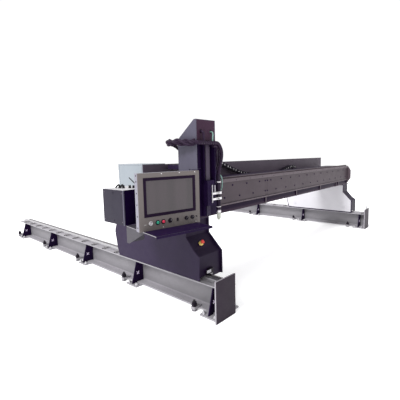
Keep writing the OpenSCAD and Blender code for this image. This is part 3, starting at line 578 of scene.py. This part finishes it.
def make_bundle():
    """The wound bundle round the column, with strands along its back and two entry hoses."""
    path = smooth_route(BUNDLE_ROUTE, THICK_STEPS)
    bundle = tube_curve("hose bundle", path, CORE_D)
    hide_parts("hose_bundle")
    along = [wrap_strip("hose bundle wrap", path, "torch_carriage", WRAP_PROUD)]
    back = path[len(path) * 2 // 5:len(path) * 3 // 4]
    for k, thick in enumerate(STRAND_D):
        phase = math.tau * k / len(STRAND_D)
        strand = [point + (STRAND_REACH - thick / 6) * out
                  for point, _, out in windings(back, STRAND_PITCH, phase)]
        along.append(tube_curve(f"bundle strand {k}", strand, thick))
    for side, colour in (("left", "hose_wrap"), ("right", "gas_green")):
        tail = smooth_route([(x, *drop) for x, drop in zip(TAIL_X[side], TAIL_DROP)], THIN_STEPS)
        along.append(tube_curve(f"{side} entry hose", tail, TAIL_D[side], colour))


LEAD_ROUTE = [
    (210, 162, 1330), (210, 162, 1352), (211, 160, 1375), (214, 154, 1415), (221, 146, 1465),
    (229, 138, 1515), (232, 132, 1560), (226, 127, 1605), (206, 123, 1645), (178, 121, 1678),
    (156, 120, 1691), (138, 120, 1695), (120.3, 120, 1695),
]


def make_lead():
    """The torch lead, as a mesh with its wound strip."""
    path = smooth_route(LEAD_ROUTE, THICK_STEPS)
    lead = tube_mesh("torch lead", path, CORE_D)
    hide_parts("torch_lead")
    lead_wrap = wrap_strip("torch lead wrap", path, None, WRAP_FLUSH)
    for thing in (lead, lead_wrap):
        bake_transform(thing)


INNER_ROUTES = [
    [(100, 132, 1690), (150, 132, 1686), (192, 148, 1674), (234, 176, 1652), (270, 202, 1616),
     (287, 214, 1570), (290, 217, 1520), (282, 223, 1465), (266, 239, 1420)],
    [(96, 132, 1664), (140, 132, 1662), (177, 152, 1644), (215, 188, 1616), (244, 212, 1572),
     (250, 217, 1520), (244, 225, 1465), (232, 239, 1420)],
]


def make_inner_hoses():
    """Two dark hoses between the column's front and the torch lead."""
    for k, route in enumerate(INNER_ROUTES):
        path = smooth_route(route, THIN_STEPS)
        inner = tube_curve(f"inner hose {k}", path, INNER_D)


GAS_ROUTE = [
    (235, 160, 1362), (243, 159, 1359), (254, 157, 1346), (262, 155, 1318), (265, 155, 1288),
    (265, 156, 1250), (261, 159, 1221), (252, 162, 1205), (243, 162, 1202), (234.3, 162, 1202),
]


def make_gas_hose():
    path = smooth_route(GAS_ROUTE, THIN_STEPS)
    gas = tube_curve("gas hose", path, GAS_D, "gas_green", "height_slide")
    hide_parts("gas_hose")


# Cable chain

CHAIN_Z = 1182.6
CHAIN_POINTS = [
    (201.2, 1447), (260, 1447.5), (400, 1466), (560, 1499), (720, 1518), (860, 1515), (1000, 1491),
    (1130, 1450), (1284, 1394), (1466, 1336), (1661, 1290), (1923, 1258), (2150, 1243),
    (2400, 1238), (2700, 1250), (2980, 1304), (3200, 1344), (3300, 1336), (3366, 1290),
    (3372, 1240), (3312, CHAIN_Z + 8), (3264, CHAIN_Z + 1.5), (3212, CHAIN_Z), (3160, CHAIN_Z),
    (2800, CHAIN_Z), (2400, CHAIN_Z),
]
CHAIN_FRONT, CHAIN_BACK = 810, 890
CHAIN_TALL = 44
LINK_PITCH = 0.068
LINK_LAP = 6
LINK_SIDE = 5
LINK_BAR = 6
PIN_HEAD = 1.5


def even_points(path, step):
    """Points at an even distance of about a step along a path."""
    total = route_length(path)
    count = int(total / step)
    made, walked, k = [], 0.0, 0
    for a, b in zip(path, path[1:]):
        span = (b - a).length
        while k <= count and k * total / count <= walked + span + 1e-9:
            made.append(a.lerp(b, (k * total / count - walked) / span))
            k += 1
        walked += span
    return made


def chain_link(reach, inset):
    """One link along x, at the chain's depth: side plates, cross bars and a pin's pale heads."""
    link = Work("chain_plastic", "pin")
    half = CHAIN_TALL / 2
    for front in (CHAIN_FRONT + inset, CHAIN_BACK - inset - LINK_SIDE):
        link.block((-reach, front, -half), (reach, front + LINK_SIDE, half), 2.5)
    for low in (-half, half - LINK_BAR):
        link.block((-9, CHAIN_FRONT + LINK_SIDE, low), (9, CHAIN_BACK - LINK_SIDE, low + LINK_BAR), 1)
    for front in (CHAIN_FRONT, CHAIN_BACK - PIN_HEAD):
        link.rod((reach - LINK_LAP, front, 0), (reach - LINK_LAP, front + PIN_HEAD, 0), 12, 14, "pin")
    bmesh.ops.translate(link.bm, verts=link.bm.verts, vec=-ORIGIN)
    mesh = bpy.data.meshes.new("link")
    link.bm.to_mesh(mesh)
    link.bm.free()
    return mesh


def make_chain():
    """Links from the torch carriage along the chain's loop into the tray, every other one narrower."""
    path = smooth_route([(x, 0, z) for x, z in CHAIN_POINTS], THIN_STEPS)
    marks = even_points(path, LINK_PITCH)
    reach = (marks[1] - marks[0]).length / 2 * 1000 + LINK_LAP
    links = [chain_link(reach, inset) for inset in (0, 2)]
    bm = bmesh.new()
    for i, (place, after) in enumerate(zip(marks, marks[1:])):
        along = (after - place).normalized()
        turn = Matrix((along, (0, 1, 0), along.cross(Vector((0, 1, 0))))).transposed().to_4x4()
        here = links[i % 2].copy()
        here.transform(Matrix.Translation((place + after) / 2) @ turn)
        bm.from_mesh(here)
        bpy.data.meshes.remove(here)
    chain = piece("cable chain links", bm, None, ["chain_plastic", "pin"],
                  ["drag_chain"])
    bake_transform(chain)


# Torch and its holder

TORCH_AXIS = (210, 162)
TORCH_BASE = (*TORCH_AXIS, 0)
TORCH_ROUND = 40


def torch_piece(name, finish, slot, *profiles, replaces=()):
    """A piece of the torch, of profiles round its axis."""
    work = Work(finish)
    for profile in profiles:
        work.lathe(profile, TORCH_BASE, steps=TORCH_ROUND)
    work.done(name, "height_slide", replaces, smooth=True)


def make_torch():
    """The handle with its grip rings, bright collars at both its ends, a seal ring and the shield cap."""
    grips = [[(23.5, z), (24.6, z + 1.5), (24.6, z + 3.5), (23.5, z + 5)] for z in range(1212, 1263, 10)]
    torch_piece("torch handle", "torch_black", "torch_black",
                [(0, 1330), (15, 1330), (17, 1327), (17, 1304), (24, 1300), (24, 1286), (24, 1196),
                 (22.5, 1192), (22.5, 1036), (24, 1034), (24, 1000), (22, 997), (0, 997)],
                *grips, replaces=["torch"])
    torch_piece("torch collars", "chrome", "bare_steel",
                [(17, 1287), (26, 1287), (28, 1289), (28, 1297), (26, 1299), (17, 1299)],
                [(20, 996), (24, 996), (25, 994), (25, 972), (23.5, 969), (20, 969)])
    torch_piece("torch seal ring", "white", "bare_steel",
                [(22, 1026), (24.6, 1026), (24.8, 1028), (24.8, 1034), (22, 1035)])
    torch_piece("torch shield cap", "cap", "torch_black",
                [(0, 968), (21.5, 968), (22, 964), (22, 922), (21, 910), (18, 899), (12, 890),
                 (6, 886), (5, 885), (3.5, 885), (3.2, 890), (0, 890)])


HOLDER_FRONT, HOLDER_BACK = 136, 148
BAR_LEFT, BAR_RIGHT = 80, 90
CLAMP_LOWS = (1110, 1168)
CLAMP_TALL = 24
CLAMP_SCREW = 30


def make_torch_clamps():
    """Two clamps with their arms on an upright bar, and a short bar beside it."""
    x, y = TORCH_AXIS
    work = Work("chrome", "trim_black", "bar")
    work.block((BAR_LEFT, HOLDER_FRONT, 1087), (BAR_RIGHT, HOLDER_BACK, 1272), 1, "bar")
    work.block((120, HOLDER_FRONT, 1196), (131, HOLDER_BACK, 1266), 1, "bar")
    for low in CLAMP_LOWS:
        high, middle = low + CLAMP_TALL, low + CLAMP_TALL / 2
        work.block((BAR_RIGHT, HOLDER_FRONT, low + 1), (x - CLAMP_SCREW, HOLDER_BACK, high - 1), 1.5)
        work.lathe([(24.4, low), (34, low), (35.5, low + 1.5), (35.5, high - 1.5), (34, high),
                    (24.4, high), (24.4, low)], TORCH_BASE, steps=TORCH_ROUND)
        for screw in (x - CLAMP_SCREW, x + CLAMP_SCREW):
            work.rod((screw, y - 36.5, middle), (screw, y - 12, middle), 4, HEX, "trim_black")
        work.rod((152, HOLDER_FRONT - 2.5, middle), (152, HOLDER_FRONT, middle), 5, HEX, "trim_black")
    work.done("torch clamps", "height_slide", ["torch_holder"])


def make_strain_relief():
    """The flared sleeve where the lead enters the torch."""
    work = Work("torch_black")
    work.lathe([(17, 1304), (19.5, 1305), (20.5, 1318), (22.3, 1345), (22.6, 1368), (22.2, 1370)],
               TORCH_BASE)
    work.done("lead strain relief", "height_slide", smooth=True)


# Console, laid out from the pin that it swivels on: across to the right, back from the pin, and up

CONSOLE_PIN = Vector((-388, 471, 0)) / 1000
CONSOLE_ANGLE = math.radians(10)
CONSOLE_TURN = Matrix.Translation(CONSOLE_PIN) @ Matrix.Rotation(-CONSOLE_ANGLE, 4, "Z")
FRONT = (0, -1, 0)
PANEL_Y = -290
PANEL_LEFT, PANEL_RIGHT = -322, 323
PANEL_LOW, PANEL_HIGH = 925, 1430
SCREEN_LEFT, SCREEN_RIGHT = -270, 272
SCREEN_LOW, SCREEN_HIGH = 1048, 1386
BEZEL_WIDTH = 26
BEZEL_PAST = 2
CONTROL_Z = 989
LAMP_X, KEY_X, GREEN_X, RED_X, SELECTOR_X, SOCKET_X, FEED_X, HEIGHT_X, STUD_X = (
    -266, -213, -145, -88, -16, 64, 162, 230, 282)
# The hidden shaft of a control, as the start of its profile
SHAFT = [(0, -16), (5, -16), (5, 0.3)]


def on_panel(x, z=CONTROL_Z):
    return (x, PANEL_Y, z)


def panel_block(work, x, half, depths, heights, bevel, finish=None):
    """A block on the row of controls: half its width, how far before the panel, how far off the row."""
    work.block((x - half, PANEL_Y - depths[1], CONTROL_Z + heights[0]),
               (x + half, PANEL_Y - depths[0], CONTROL_Z + heights[1]), bevel, finish)


def make_console_housing():
    work = Work("console_sheet", turn=CONSOLE_TURN)
    work.block((PANEL_LEFT, PANEL_Y + 6.3, PANEL_LOW), (PANEL_RIGHT, PANEL_Y + 60, PANEL_HIGH), 2)
    work.done("console housing", "console", ["console_shell"])


def make_console_display():
    """The screen's glass in a bezel of four bars."""
    work = Work("bezel", "screen_dark", turn=CONSOLE_TURN)
    work.block((SCREEN_LEFT, PANEL_Y + 3, SCREEN_LOW), (SCREEN_RIGHT, PANEL_Y + 9, SCREEN_HIGH),
               finish="screen_dark")
    left, right = SCREEN_LEFT - BEZEL_PAST, SCREEN_RIGHT + BEZEL_PAST
    low, high = SCREEN_LOW - BEZEL_PAST, SCREEN_HIGH + BEZEL_PAST
    bar = BEZEL_WIDTH
    for x0, z0, x1, z1 in ((left, low, left + bar, high), (right - bar, low, right, high),
                           (left + bar, low, right - bar, low + bar),
                           (left + bar, high - bar, right - bar, high)):
        work.block((x0, PANEL_Y - 3, z0), (x1, PANEL_Y + 4, z1), 1)
    work.done("console display", "console", ["console_screen"])


def make_console_fittings():
    """Rings round the buttons, the key and the selector, a lamp, a socket with its catch and a stud."""
    work = Work("trim_black", "lens", "chrome", turn=CONSOLE_TURN)
    for x in (GREEN_X, RED_X):
        work.lathe([(14, 0), (14, 4), (18, 5), (22, 4), (22, 0)], on_panel(x), FRONT, 28)
    panel_block(work, LAMP_X, 10, (0, 2), (-9, -3), 0.5, "lens")
    work.lathe([(13, 0), (13, 4), (17, 5), (20, 3), (20, 0)], on_panel(KEY_X), FRONT, finish="chrome")
    work.lathe([(5.3, 0), (5.3, 1.2), (13, 1.2)], on_panel(KEY_X), FRONT, 28)
    work.lathe([(17.6, 0), (17.6, 2), (22, 2), (23, 0)], on_panel(SELECTOR_X), FRONT)
    panel_block(work, SOCKET_X, 10, (0, 5), (-14, 14), 1.5)
    panel_block(work, SOCKET_X, 4, (5, 14), (-11, -2), 1)
    work.lathe([(0, 6), (5, 6), (7, 4.5), (7, 0)], on_panel(STUD_X), FRONT, 20)
    work.done("console fittings", "console", ["console_trim"])


def make_shelf_painted_light():
    """A thin dark sheet on the keyboard shelf's top and front edge as painted shade, and a pale strip on its
    left edge as a painted highlight.
    """
    left, right, front = -288, 297, -515
    work = Work("dark_paint", "cut_edge_and_highlight", turn=CONSOLE_TURN)
    # Painted shade: a dark sheet on the shelf's top and front edge
    work.block((left + 7, front + 6, PANEL_LOW), (right - 7, PANEL_Y - 2, PANEL_LOW + 1.5), 0.5)
    work.block((left, front - 0.8, PANEL_LOW - 20), (right, front, PANEL_LOW + 0.2))
    # Painted highlight: a pale strip on the shelf's left edge
    work.block((left - 0.8, front, PANEL_LOW - 4), (left, 55, PANEL_LOW + 0.4), finish="cut_edge_and_highlight")
    work.done("shelf painted light", "console")


def make_console_screws():
    """Bright screws in the front panel and dark ones down the housing's left side."""
    work = Work("pin", "trim_black", turn=CONSOLE_TURN)
    for x, z in ((-90, 1418), (98, 1418), (273, 1418), (-90, 940), (273, 940)):
        work.lathe([(0, 2), (2.4, 1.8), (3.4, 1), (3.8, 0)], on_panel(x, z), FRONT, SMALL_ROUND)
    for z in (960, 1060, 1160, 1260, 1360, 1410):
        work.lathe([(0, 2), (6, 1.6), (7, 0)], (PANEL_LEFT, PANEL_Y + 30, z), LEFTWARD, SMALL_ROUND,
                   "trim_black")
    work.done("console screws", "console")


def make_push_button(node, x, body, slot):
    """A domed button on a shaft through the panel."""
    work = Work(slot, turn=CONSOLE_TURN)
    work.lathe([(0, -20), (11, -20), (11, 5.2), (13.5, 5.2), (13.5, 10), (12, 12), (8, 13), (0, 13.4)],
               on_panel(x), FRONT)
    work.done(f"pressed {node}", body, [node], smooth=True)


def make_key():
    work = Work("chrome", turn=CONSOLE_TURN)
    work.lathe(SHAFT + [(10, 1.5), (10, 5), (9, 6), (0, 6)], on_panel(KEY_X), FRONT)
    panel_block(work, KEY_X, 2, (6, 29), (-9, 9), 1.5)
    work.done("panel key", "key", ["key_switch"])


def make_selector():
    """A round plate with a grip across it and a white pointer on the grip."""
    work = Work("trim_black", "white", turn=CONSOLE_TURN)
    work.lathe(SHAFT + [(17, 0.3), (17, 4), (15, 6), (0, 6)], on_panel(SELECTOR_X), FRONT)
    panel_block(work, SELECTOR_X, 4, (6, 19.5), (-13, 13), 2)
    panel_block(work, SELECTOR_X, 1, (19, 20), (2, 11), 0, "white")
    work.done("selector knob", "selector", ["selector_switch"])


def make_dial(body, node, x):
    """A ribbed knob with a flange and a white pointer."""
    ribs, reach = 12, 16.2
    work = Work("trim_black", "white", turn=CONSOLE_TURN)
    work.lathe(SHAFT + [(19, 0.3), (19, 3), (16.5, 4), (16, 15), (15, 16), (0, 16)], on_panel(x), FRONT)
    for k in range(ribs):
        angle = math.tau * k / ribs
        rib_x, rib_z = x + reach * math.cos(angle), CONTROL_Z + reach * math.sin(angle)
        work.rod((rib_x, PANEL_Y - 4, rib_z), (rib_x, PANEL_Y - 15, rib_z), 1, HEX)
    panel_block(work, x, 1, (15.8, 16.3), (2, 10), 0, "white")
    work.done(f"{body} knob", body, [node])


# Carriages

CARRIAGE_RIGHT = 250
FAR_PANEL_X = RAIL_GAUGE - 101
AXLE_PLACES = (330, 1450)
AXLE_Z = 405


def make_far_panel():
    """The pale inner side of the far carriage."""
    outline = [(172, 318), (172, 556), (346, 734), (346, 880), (1540, 880), (1660, 655), (1672, 600),
               (1634, 410), (1596, 318)]
    work = Work("panel")
    work.plate(outline, FAR_PANEL_X, FAR_PANEL_X + 3)
    work.done("far carriage inner panel", "gantry")


def make_axle_caps():
    """A round cap with a hexagon nut at each axle, on the right sides and on the far carriage's panel."""
    work = Work("side_paint", "panel")
    for x, out, finish in ((CARRIAGE_RIGHT, 1, "side_paint"), (FAR_PANEL_X, -1, "panel"),
                           (RAIL_GAUGE + CARRIAGE_RIGHT, 1, "side_paint")):
        cap, nut = x + out * 8, x + out * 14
        for y in AXLE_PLACES:
            work.rod((x, y, AXLE_Z), (cap, y, AXLE_Z), 30, 24, finish)
            work.rod((cap, y, AXLE_Z), (nut, y, AXLE_Z), 14, HEX, finish)
    work.done("axle end caps", "gantry")


# Rails

FOOT_PITCH = 1250
FEET = [FOOT_PITCH * i for i in range(5)]
GUSSET_X, GUSSET_Z = 86, 138
GUSSET_FACE = 6
TAB_ARM = 17
CLIP_X = -88
CLIP_FIRST, CLIP_PITCH, CLIPS = -50, 300, 18
JACK_X = -145
JACK_AFTER_FOOT, JACK_LAST = 212, 5247
END_PLATE_LEFT, END_PLATE_RIGHT, END_PLATE_TOP = -222, 76, 412
END_PLATE_FRONT, END_PLATE_BACK = -145, RAIL_FRONT
EDGE = 0.6


def make_gusset_bolts():
    """A hexagon bolt on two crossed lock tabs, on both faces of every gusset."""
    work = Work("bolt")
    for rail, foot, side, out in product(RAILS, FEET, (-1, 1), (-1, 1)):
        x, face = rail + side * GUSSET_X, foot + out * GUSSET_FACE
        for rise in (TAB_ARM, -TAB_ARM):
            work.rod((x - TAB_ARM, face + out * 2, GUSSET_Z - rise),
                     (x + TAB_ARM, face + out * 2, GUSSET_Z + rise), 4.5, 8)
        work.rod((x, face, GUSSET_Z), (x, face + out * 8, GUSSET_Z), 9, HEX)
    work.done("gusset bolts", "base")


def make_clip_bolts():
    work = Work("trim_black")
    for rail, k in product(RAILS, range(CLIPS)):
        x, y = rail + CLIP_X, CLIP_FIRST + CLIP_PITCH * k
        work.rod((x, y, RAIL_TOP), (x, y, RAIL_TOP + 10), 8, HEX)
    work.done("clip bolts", "base")


def make_jack_nuts():
    """The stack of nuts and the stud's end on each levelling jack."""
    work = Work("trim_black", "motor_black")
    for rail, foot in product(RAILS, FEET):
        x, y = rail + JACK_X, min(foot + JACK_AFTER_FOOT, JACK_LAST)
        for low, high, radius in ((8, 15.6, 24), (46, 66, 27), (67, 73, 31), (74, 92, 24)):
            work.rod((x, y, low), (x, y, high), radius, HEX)
        work.rod((x, y, 92), (x, y, 112), 12, finish="motor_black")
    work.done("jack nuts", "base")


def make_cut_edges():
    """The bare cut edges of the rails' front end plates."""
    work = Work("cut_edge_and_highlight")
    front, back, top = END_PLATE_FRONT, END_PLATE_BACK, END_PLATE_TOP
    for rail in RAILS:
        left, right = rail + END_PLATE_LEFT, rail + END_PLATE_RIGHT
        work.block((left - EDGE, front, 0), (left, back, top))
        work.block((right, front, 0), (right + EDGE, back, top))
        work.block((left, front, top), (right, back, top + EDGE))
    work.done("cut edges", "base")


# Beam

BEAM_LEFT, BEAM_RIGHT = -86, 4815
BAND_FRONT, FACE_FRONT, BOX_FRONT = 300, 312, 316
BOX_LOW, BAND_LOW, BAND_HIGH = 902, 992, 1296
RIB_PLACES = (1415, 2356, 3322, 4135, 4255)
RIB_WIDTH = 20
SEAM_PLACES = (1397, 1455)
SCREW_FIRST, SCREW_PITCH, SCREWS = 120, 298, 16


def make_band_lines():
    """Two thin dark lines along the guide bands, two seams of the face plates and the ribs of the box below.
    """
    work = Work("trim_black", "guide")
    for low, high in ((BAND_HIGH - 42.5, BAND_HIGH - 39), (BAND_LOW + 17, BAND_LOW + 21)):
        work.block((BEAM_LEFT, FACE_FRONT - 0.8, low), (BEAM_RIGHT, FACE_FRONT, high))
    for x in RIB_PLACES:
        work.block((x, BOX_FRONT - 0.8, BOX_LOW), (x + RIB_WIDTH, BOX_FRONT, BAND_LOW), finish="guide")
    for x in SEAM_PLACES:
        work.block((x - 1, FACE_FRONT - 0.4, BAND_LOW + 22), (x + 1, FACE_FRONT, BAND_HIGH - 44))
    work.done("band lines", "gantry")


def make_band_screws():
    """Flush screws along both guide bands, the lower row half a pitch on."""
    work = Work("trim_black")
    upper_z, lower_z = BAND_HIGH - 20, BAND_LOW + 8.5
    for k in range(SCREWS):
        upper = SCREW_FIRST + SCREW_PITCH * k
        lower = upper + SCREW_PITCH / 2
        work.rod((upper, BAND_FRONT - 0.6, upper_z), (upper, BAND_FRONT, upper_z), 7)
        work.rod((lower, BAND_FRONT - 0.6, lower_z), (lower, BAND_FRONT, lower_z), 5)
    work.done("band screws", "gantry")


# Column

COLUMN_LEFT, COLUMN_RIGHT = -117, 148
COLUMN_FRONT, COLUMN_BACK = 152, 240
COLUMN_LOW, COLUMN_TOP = 1182, 1690


def make_column_shade_sheets():
    """Thin dark sheets as painted shade on the column's back and the inner faces of both sides, and a dark
    strip on the right side's front edge.
    """
    inner_back = COLUMN_BACK - 1
    # Painted shade: dark sheets laid over faces that lie deep in shade
    work = Work("dark_paint")
    work.block((COLUMN_LEFT, inner_back, 1442), (COLUMN_RIGHT, COLUMN_BACK, COLUMN_TOP))
    work.block((COLUMN_RIGHT - 1, COLUMN_FRONT, COLUMN_LOW), (COLUMN_RIGHT, inner_back, COLUMN_TOP))
    work.block((COLUMN_LEFT, COLUMN_FRONT, 1440), (COLUMN_LEFT + 1, inner_back, COLUMN_TOP))
    work.block((COLUMN_RIGHT - 0.4, COLUMN_FRONT - 2.7, COLUMN_LOW),
               (COLUMN_RIGHT + 8.4, COLUMN_FRONT - 2, COLUMN_TOP - 12))
    work.done("column shade sheets", "torch_carriage")


# Cabinets

CABINET_X, CABINET_Y, CABINET_Z = -687, 564, 929
CABINET_LENGTH, CABINET_WIDTH, CABINET_HEIGHT = 577, 358, 333
CABINET_TOP = CABINET_Z + CABINET_HEIGHT
COVER_SCREW = 30


def make_cabinet_lid():
    work = Work("lid")
    work.block((CABINET_X, CABINET_Y, CABINET_TOP),
               (CABINET_X + CABINET_LENGTH, CABINET_Y + CABINET_WIDTH, CABINET_TOP + 2), 0.6)
    work.done("cabinet lid", "gantry")


def make_cabinet_flange_highlight():
    """The control cabinet's bent front flange in a lighter paint as a painted highlight, with the dark gap
    between it and the cover.
    """
    x, y = CABINET_X, CABINET_Y
    work = Work("column", "trim_black")
    # Painted highlight: the flange in a lighter paint where it catches the light
    work.block((x, y - 1.5, CABINET_Z), (x + 10, y, CABINET_TOP), 0.4)
    work.block((x - 0.8, y, CABINET_Z), (x, y + 15, CABINET_TOP))
    work.block((x - 0.8, y + 15, CABINET_Z), (x, y + 18, CABINET_TOP), finish="trim_black")
    work.done("cabinet flange highlight", "gantry")


def make_cover_screws():
    work = Work("tray")
    for along, rise in product((COVER_SCREW, CABINET_WIDTH - COVER_SCREW),
                               (COVER_SCREW, CABINET_HEIGHT - COVER_SCREW)):
        work.lathe([(0, 3), (5, 2.4), (7, 0)], (CABINET_X, CABINET_Y + along, CABINET_Z + rise),
                   LEFTWARD, SMALL_ROUND)
    work.done("cover screws", "gantry")


def make_cabinet_cables():
    """Two cables that bend over behind their glands, and the rod that leans back from the lid."""
    work = Work("gland_plastic")
    for x, y, span in ((CABINET_X + 112, CABINET_Y + 226, 46), (CABINET_X + 125, CABINET_Y + 181, 26)):
        bend = (x - 6, y + 14, CABINET_TOP + 36)
        work.rod((x, y, CABINET_TOP + 26), bend, 9)
        work.rod(bend, (x - 16, y + span, CABINET_TOP + 8), 8)
    foot, lean = Vector((CABINET_X + 307, CABINET_Y + 206, CABINET_TOP + 10)), Vector((0, 0.866, 0.5))
    work.rod(foot + 14 * lean, foot + 158 * lean, 5.5)
    work.done("bent cables", "gantry")


POWER_LEFT = -98
POWER_LOW, POWER_HIGH = 902, 1485
PANEL_SEAMS = (1062, 1520)
SEAM = 1.5
LOUVRE_PITCH, LOUVRES = 14, 9


def make_power_panel():
    """The seams round the power cabinet's side panel and the louvres in it."""
    low, high = POWER_LOW + 12, POWER_HIGH - 12
    front, back = PANEL_SEAMS
    work = Work("strip")
    for y in PANEL_SEAMS:
        work.block((POWER_LEFT - 0.5, y, low), (POWER_LEFT, y + SEAM, high))
    for z in (low, high):
        work.block((POWER_LEFT - 0.5, front, z), (POWER_LEFT, back + SEAM, z + SEAM))
    for k in range(LOUVRES):
        z = POWER_LOW + 90 + LOUVRE_PITCH * k
        work.block((POWER_LEFT - 1, 1150, z), (POWER_LEFT, 1290, z + 5))
    work.done("power cabinet panel", "gantry")


# Nose: the emergency stop on its slope, and the boxes on the carriage's front

NOSE_EDGE = (48, 250, 602)
NOSE_SLOPE = math.atan2(125, 111)
NOSE_OUT = Vector((0, -math.sin(NOSE_SLOPE), math.cos(NOSE_SLOPE)))
NOSE_ALONG = Vector((0, math.cos(NOSE_SLOPE), math.sin(NOSE_SLOPE)))
STOP_BASE = Vector(NOSE_EDGE) + 54 * NOSE_ALONG


def make_nose_devices():
    """The stop's yellow base, the sensor box with its plate and cable, and the small box above."""
    work = Work("nose_yellow", "panel", "trim_black")
    work.lathe([(8.3, 2), (8.3, 20), (22, 20), (26, 17), (27, 0), (8.3, 0), (8.3, 2)],
               STOP_BASE, NOSE_OUT, 40)
    work.block((21, 150, 334), (98, 178, 366), 2, "trim_black")
    work.block((21, 150, 366), (98, 178, 401), 1.5, "trim_black")
    work.block((-12, 147.5, 362), (52, 150, 392), 0.8, "panel")
    work.rod((40, 149, 346), (76, 149, 342), 4, finish="panel")
    work.block((-80, 286, 850), (-20, 340, 901.7), 3, "trim_black")
    work.done("nose devices", "gantry", ["nose_fittings"])


def make_stop_mushroom():
    work = Work("stop_red")
    work.lathe([(0, 10), (8, 10), (8, 29), (15, 30), (20, 35), (21.5, 40), (20, 45), (12, 47.5), (0, 48)],
               STOP_BASE, NOSE_OUT, 40)
    work.done("stop mushroom", "stop_button", ["estop_button"], smooth=True)


# Ground and light


def make_stage():
    bpy.ops.mesh.primitive_plane_add(size=60, location=(0, 0, -0.001))
    ground = bpy.context.object
    ground.name = "ground"
    made = Shader("pale ground", (0.93, 0.93, 0.94), roughness=0.7)
    made.bump(made.noise(40.0), strength=0.02, distance=0.001)
    made.set("Emission Color", (1, 1, 1, 1))
    made.set("Emission Strength", 0.3)
    ground.data.materials.append(made.material)


def make_light():
    """A white studio all round, with one soft sun from the left."""
    world = bpy.data.worlds.new("studio")
    bpy.context.scene.world = world
    world.use_nodes = True
    back = world.node_tree.nodes["Background"]
    back.inputs["Color"].default_value = (1, 1, 1, 1)
    back.inputs["Strength"].default_value = 1.05
    data = bpy.data.lights.new("window", "SUN")
    data.energy = 3.4
    data.angle = math.radians(20)
    sun = placed("window", data)
    toward = Vector((0.66, -0.04, -0.75))
    sun.rotation_euler = toward.to_track_quat("-Z", "Y").to_euler()
    bpy.context.scene.view_settings.view_transform = "Standard"


make_camera()
make_bundle()
make_lead()
make_inner_hoses()
make_gas_hose()
dress_frame()
make_chain()
make_torch()
make_torch_clamps()
make_strain_relief()
make_gusset_bolts()
make_clip_bolts()
make_jack_nuts()
make_cut_edges()
make_band_lines()
make_band_screws()
make_cabinet_lid()
make_cabinet_flange_highlight()
make_cover_screws()
make_cabinet_cables()
make_power_panel()
make_column_shade_sheets()
make_console_housing()
make_console_display()
make_console_fittings()
make_shelf_painted_light()
make_console_screws()
make_push_button("green_button", GREEN_X, "start_button", "button_green")
make_push_button("red_button", RED_X, "off_button", "button_red")
make_key()
make_selector()
make_dial("feed_dial", "feed_knob", FEED_X)
make_dial("height_dial", "height_knob", HEIGHT_X)
make_far_panel()
make_axle_caps()
make_nose_devices()
make_stop_mushroom()
make_stage()
make_light()
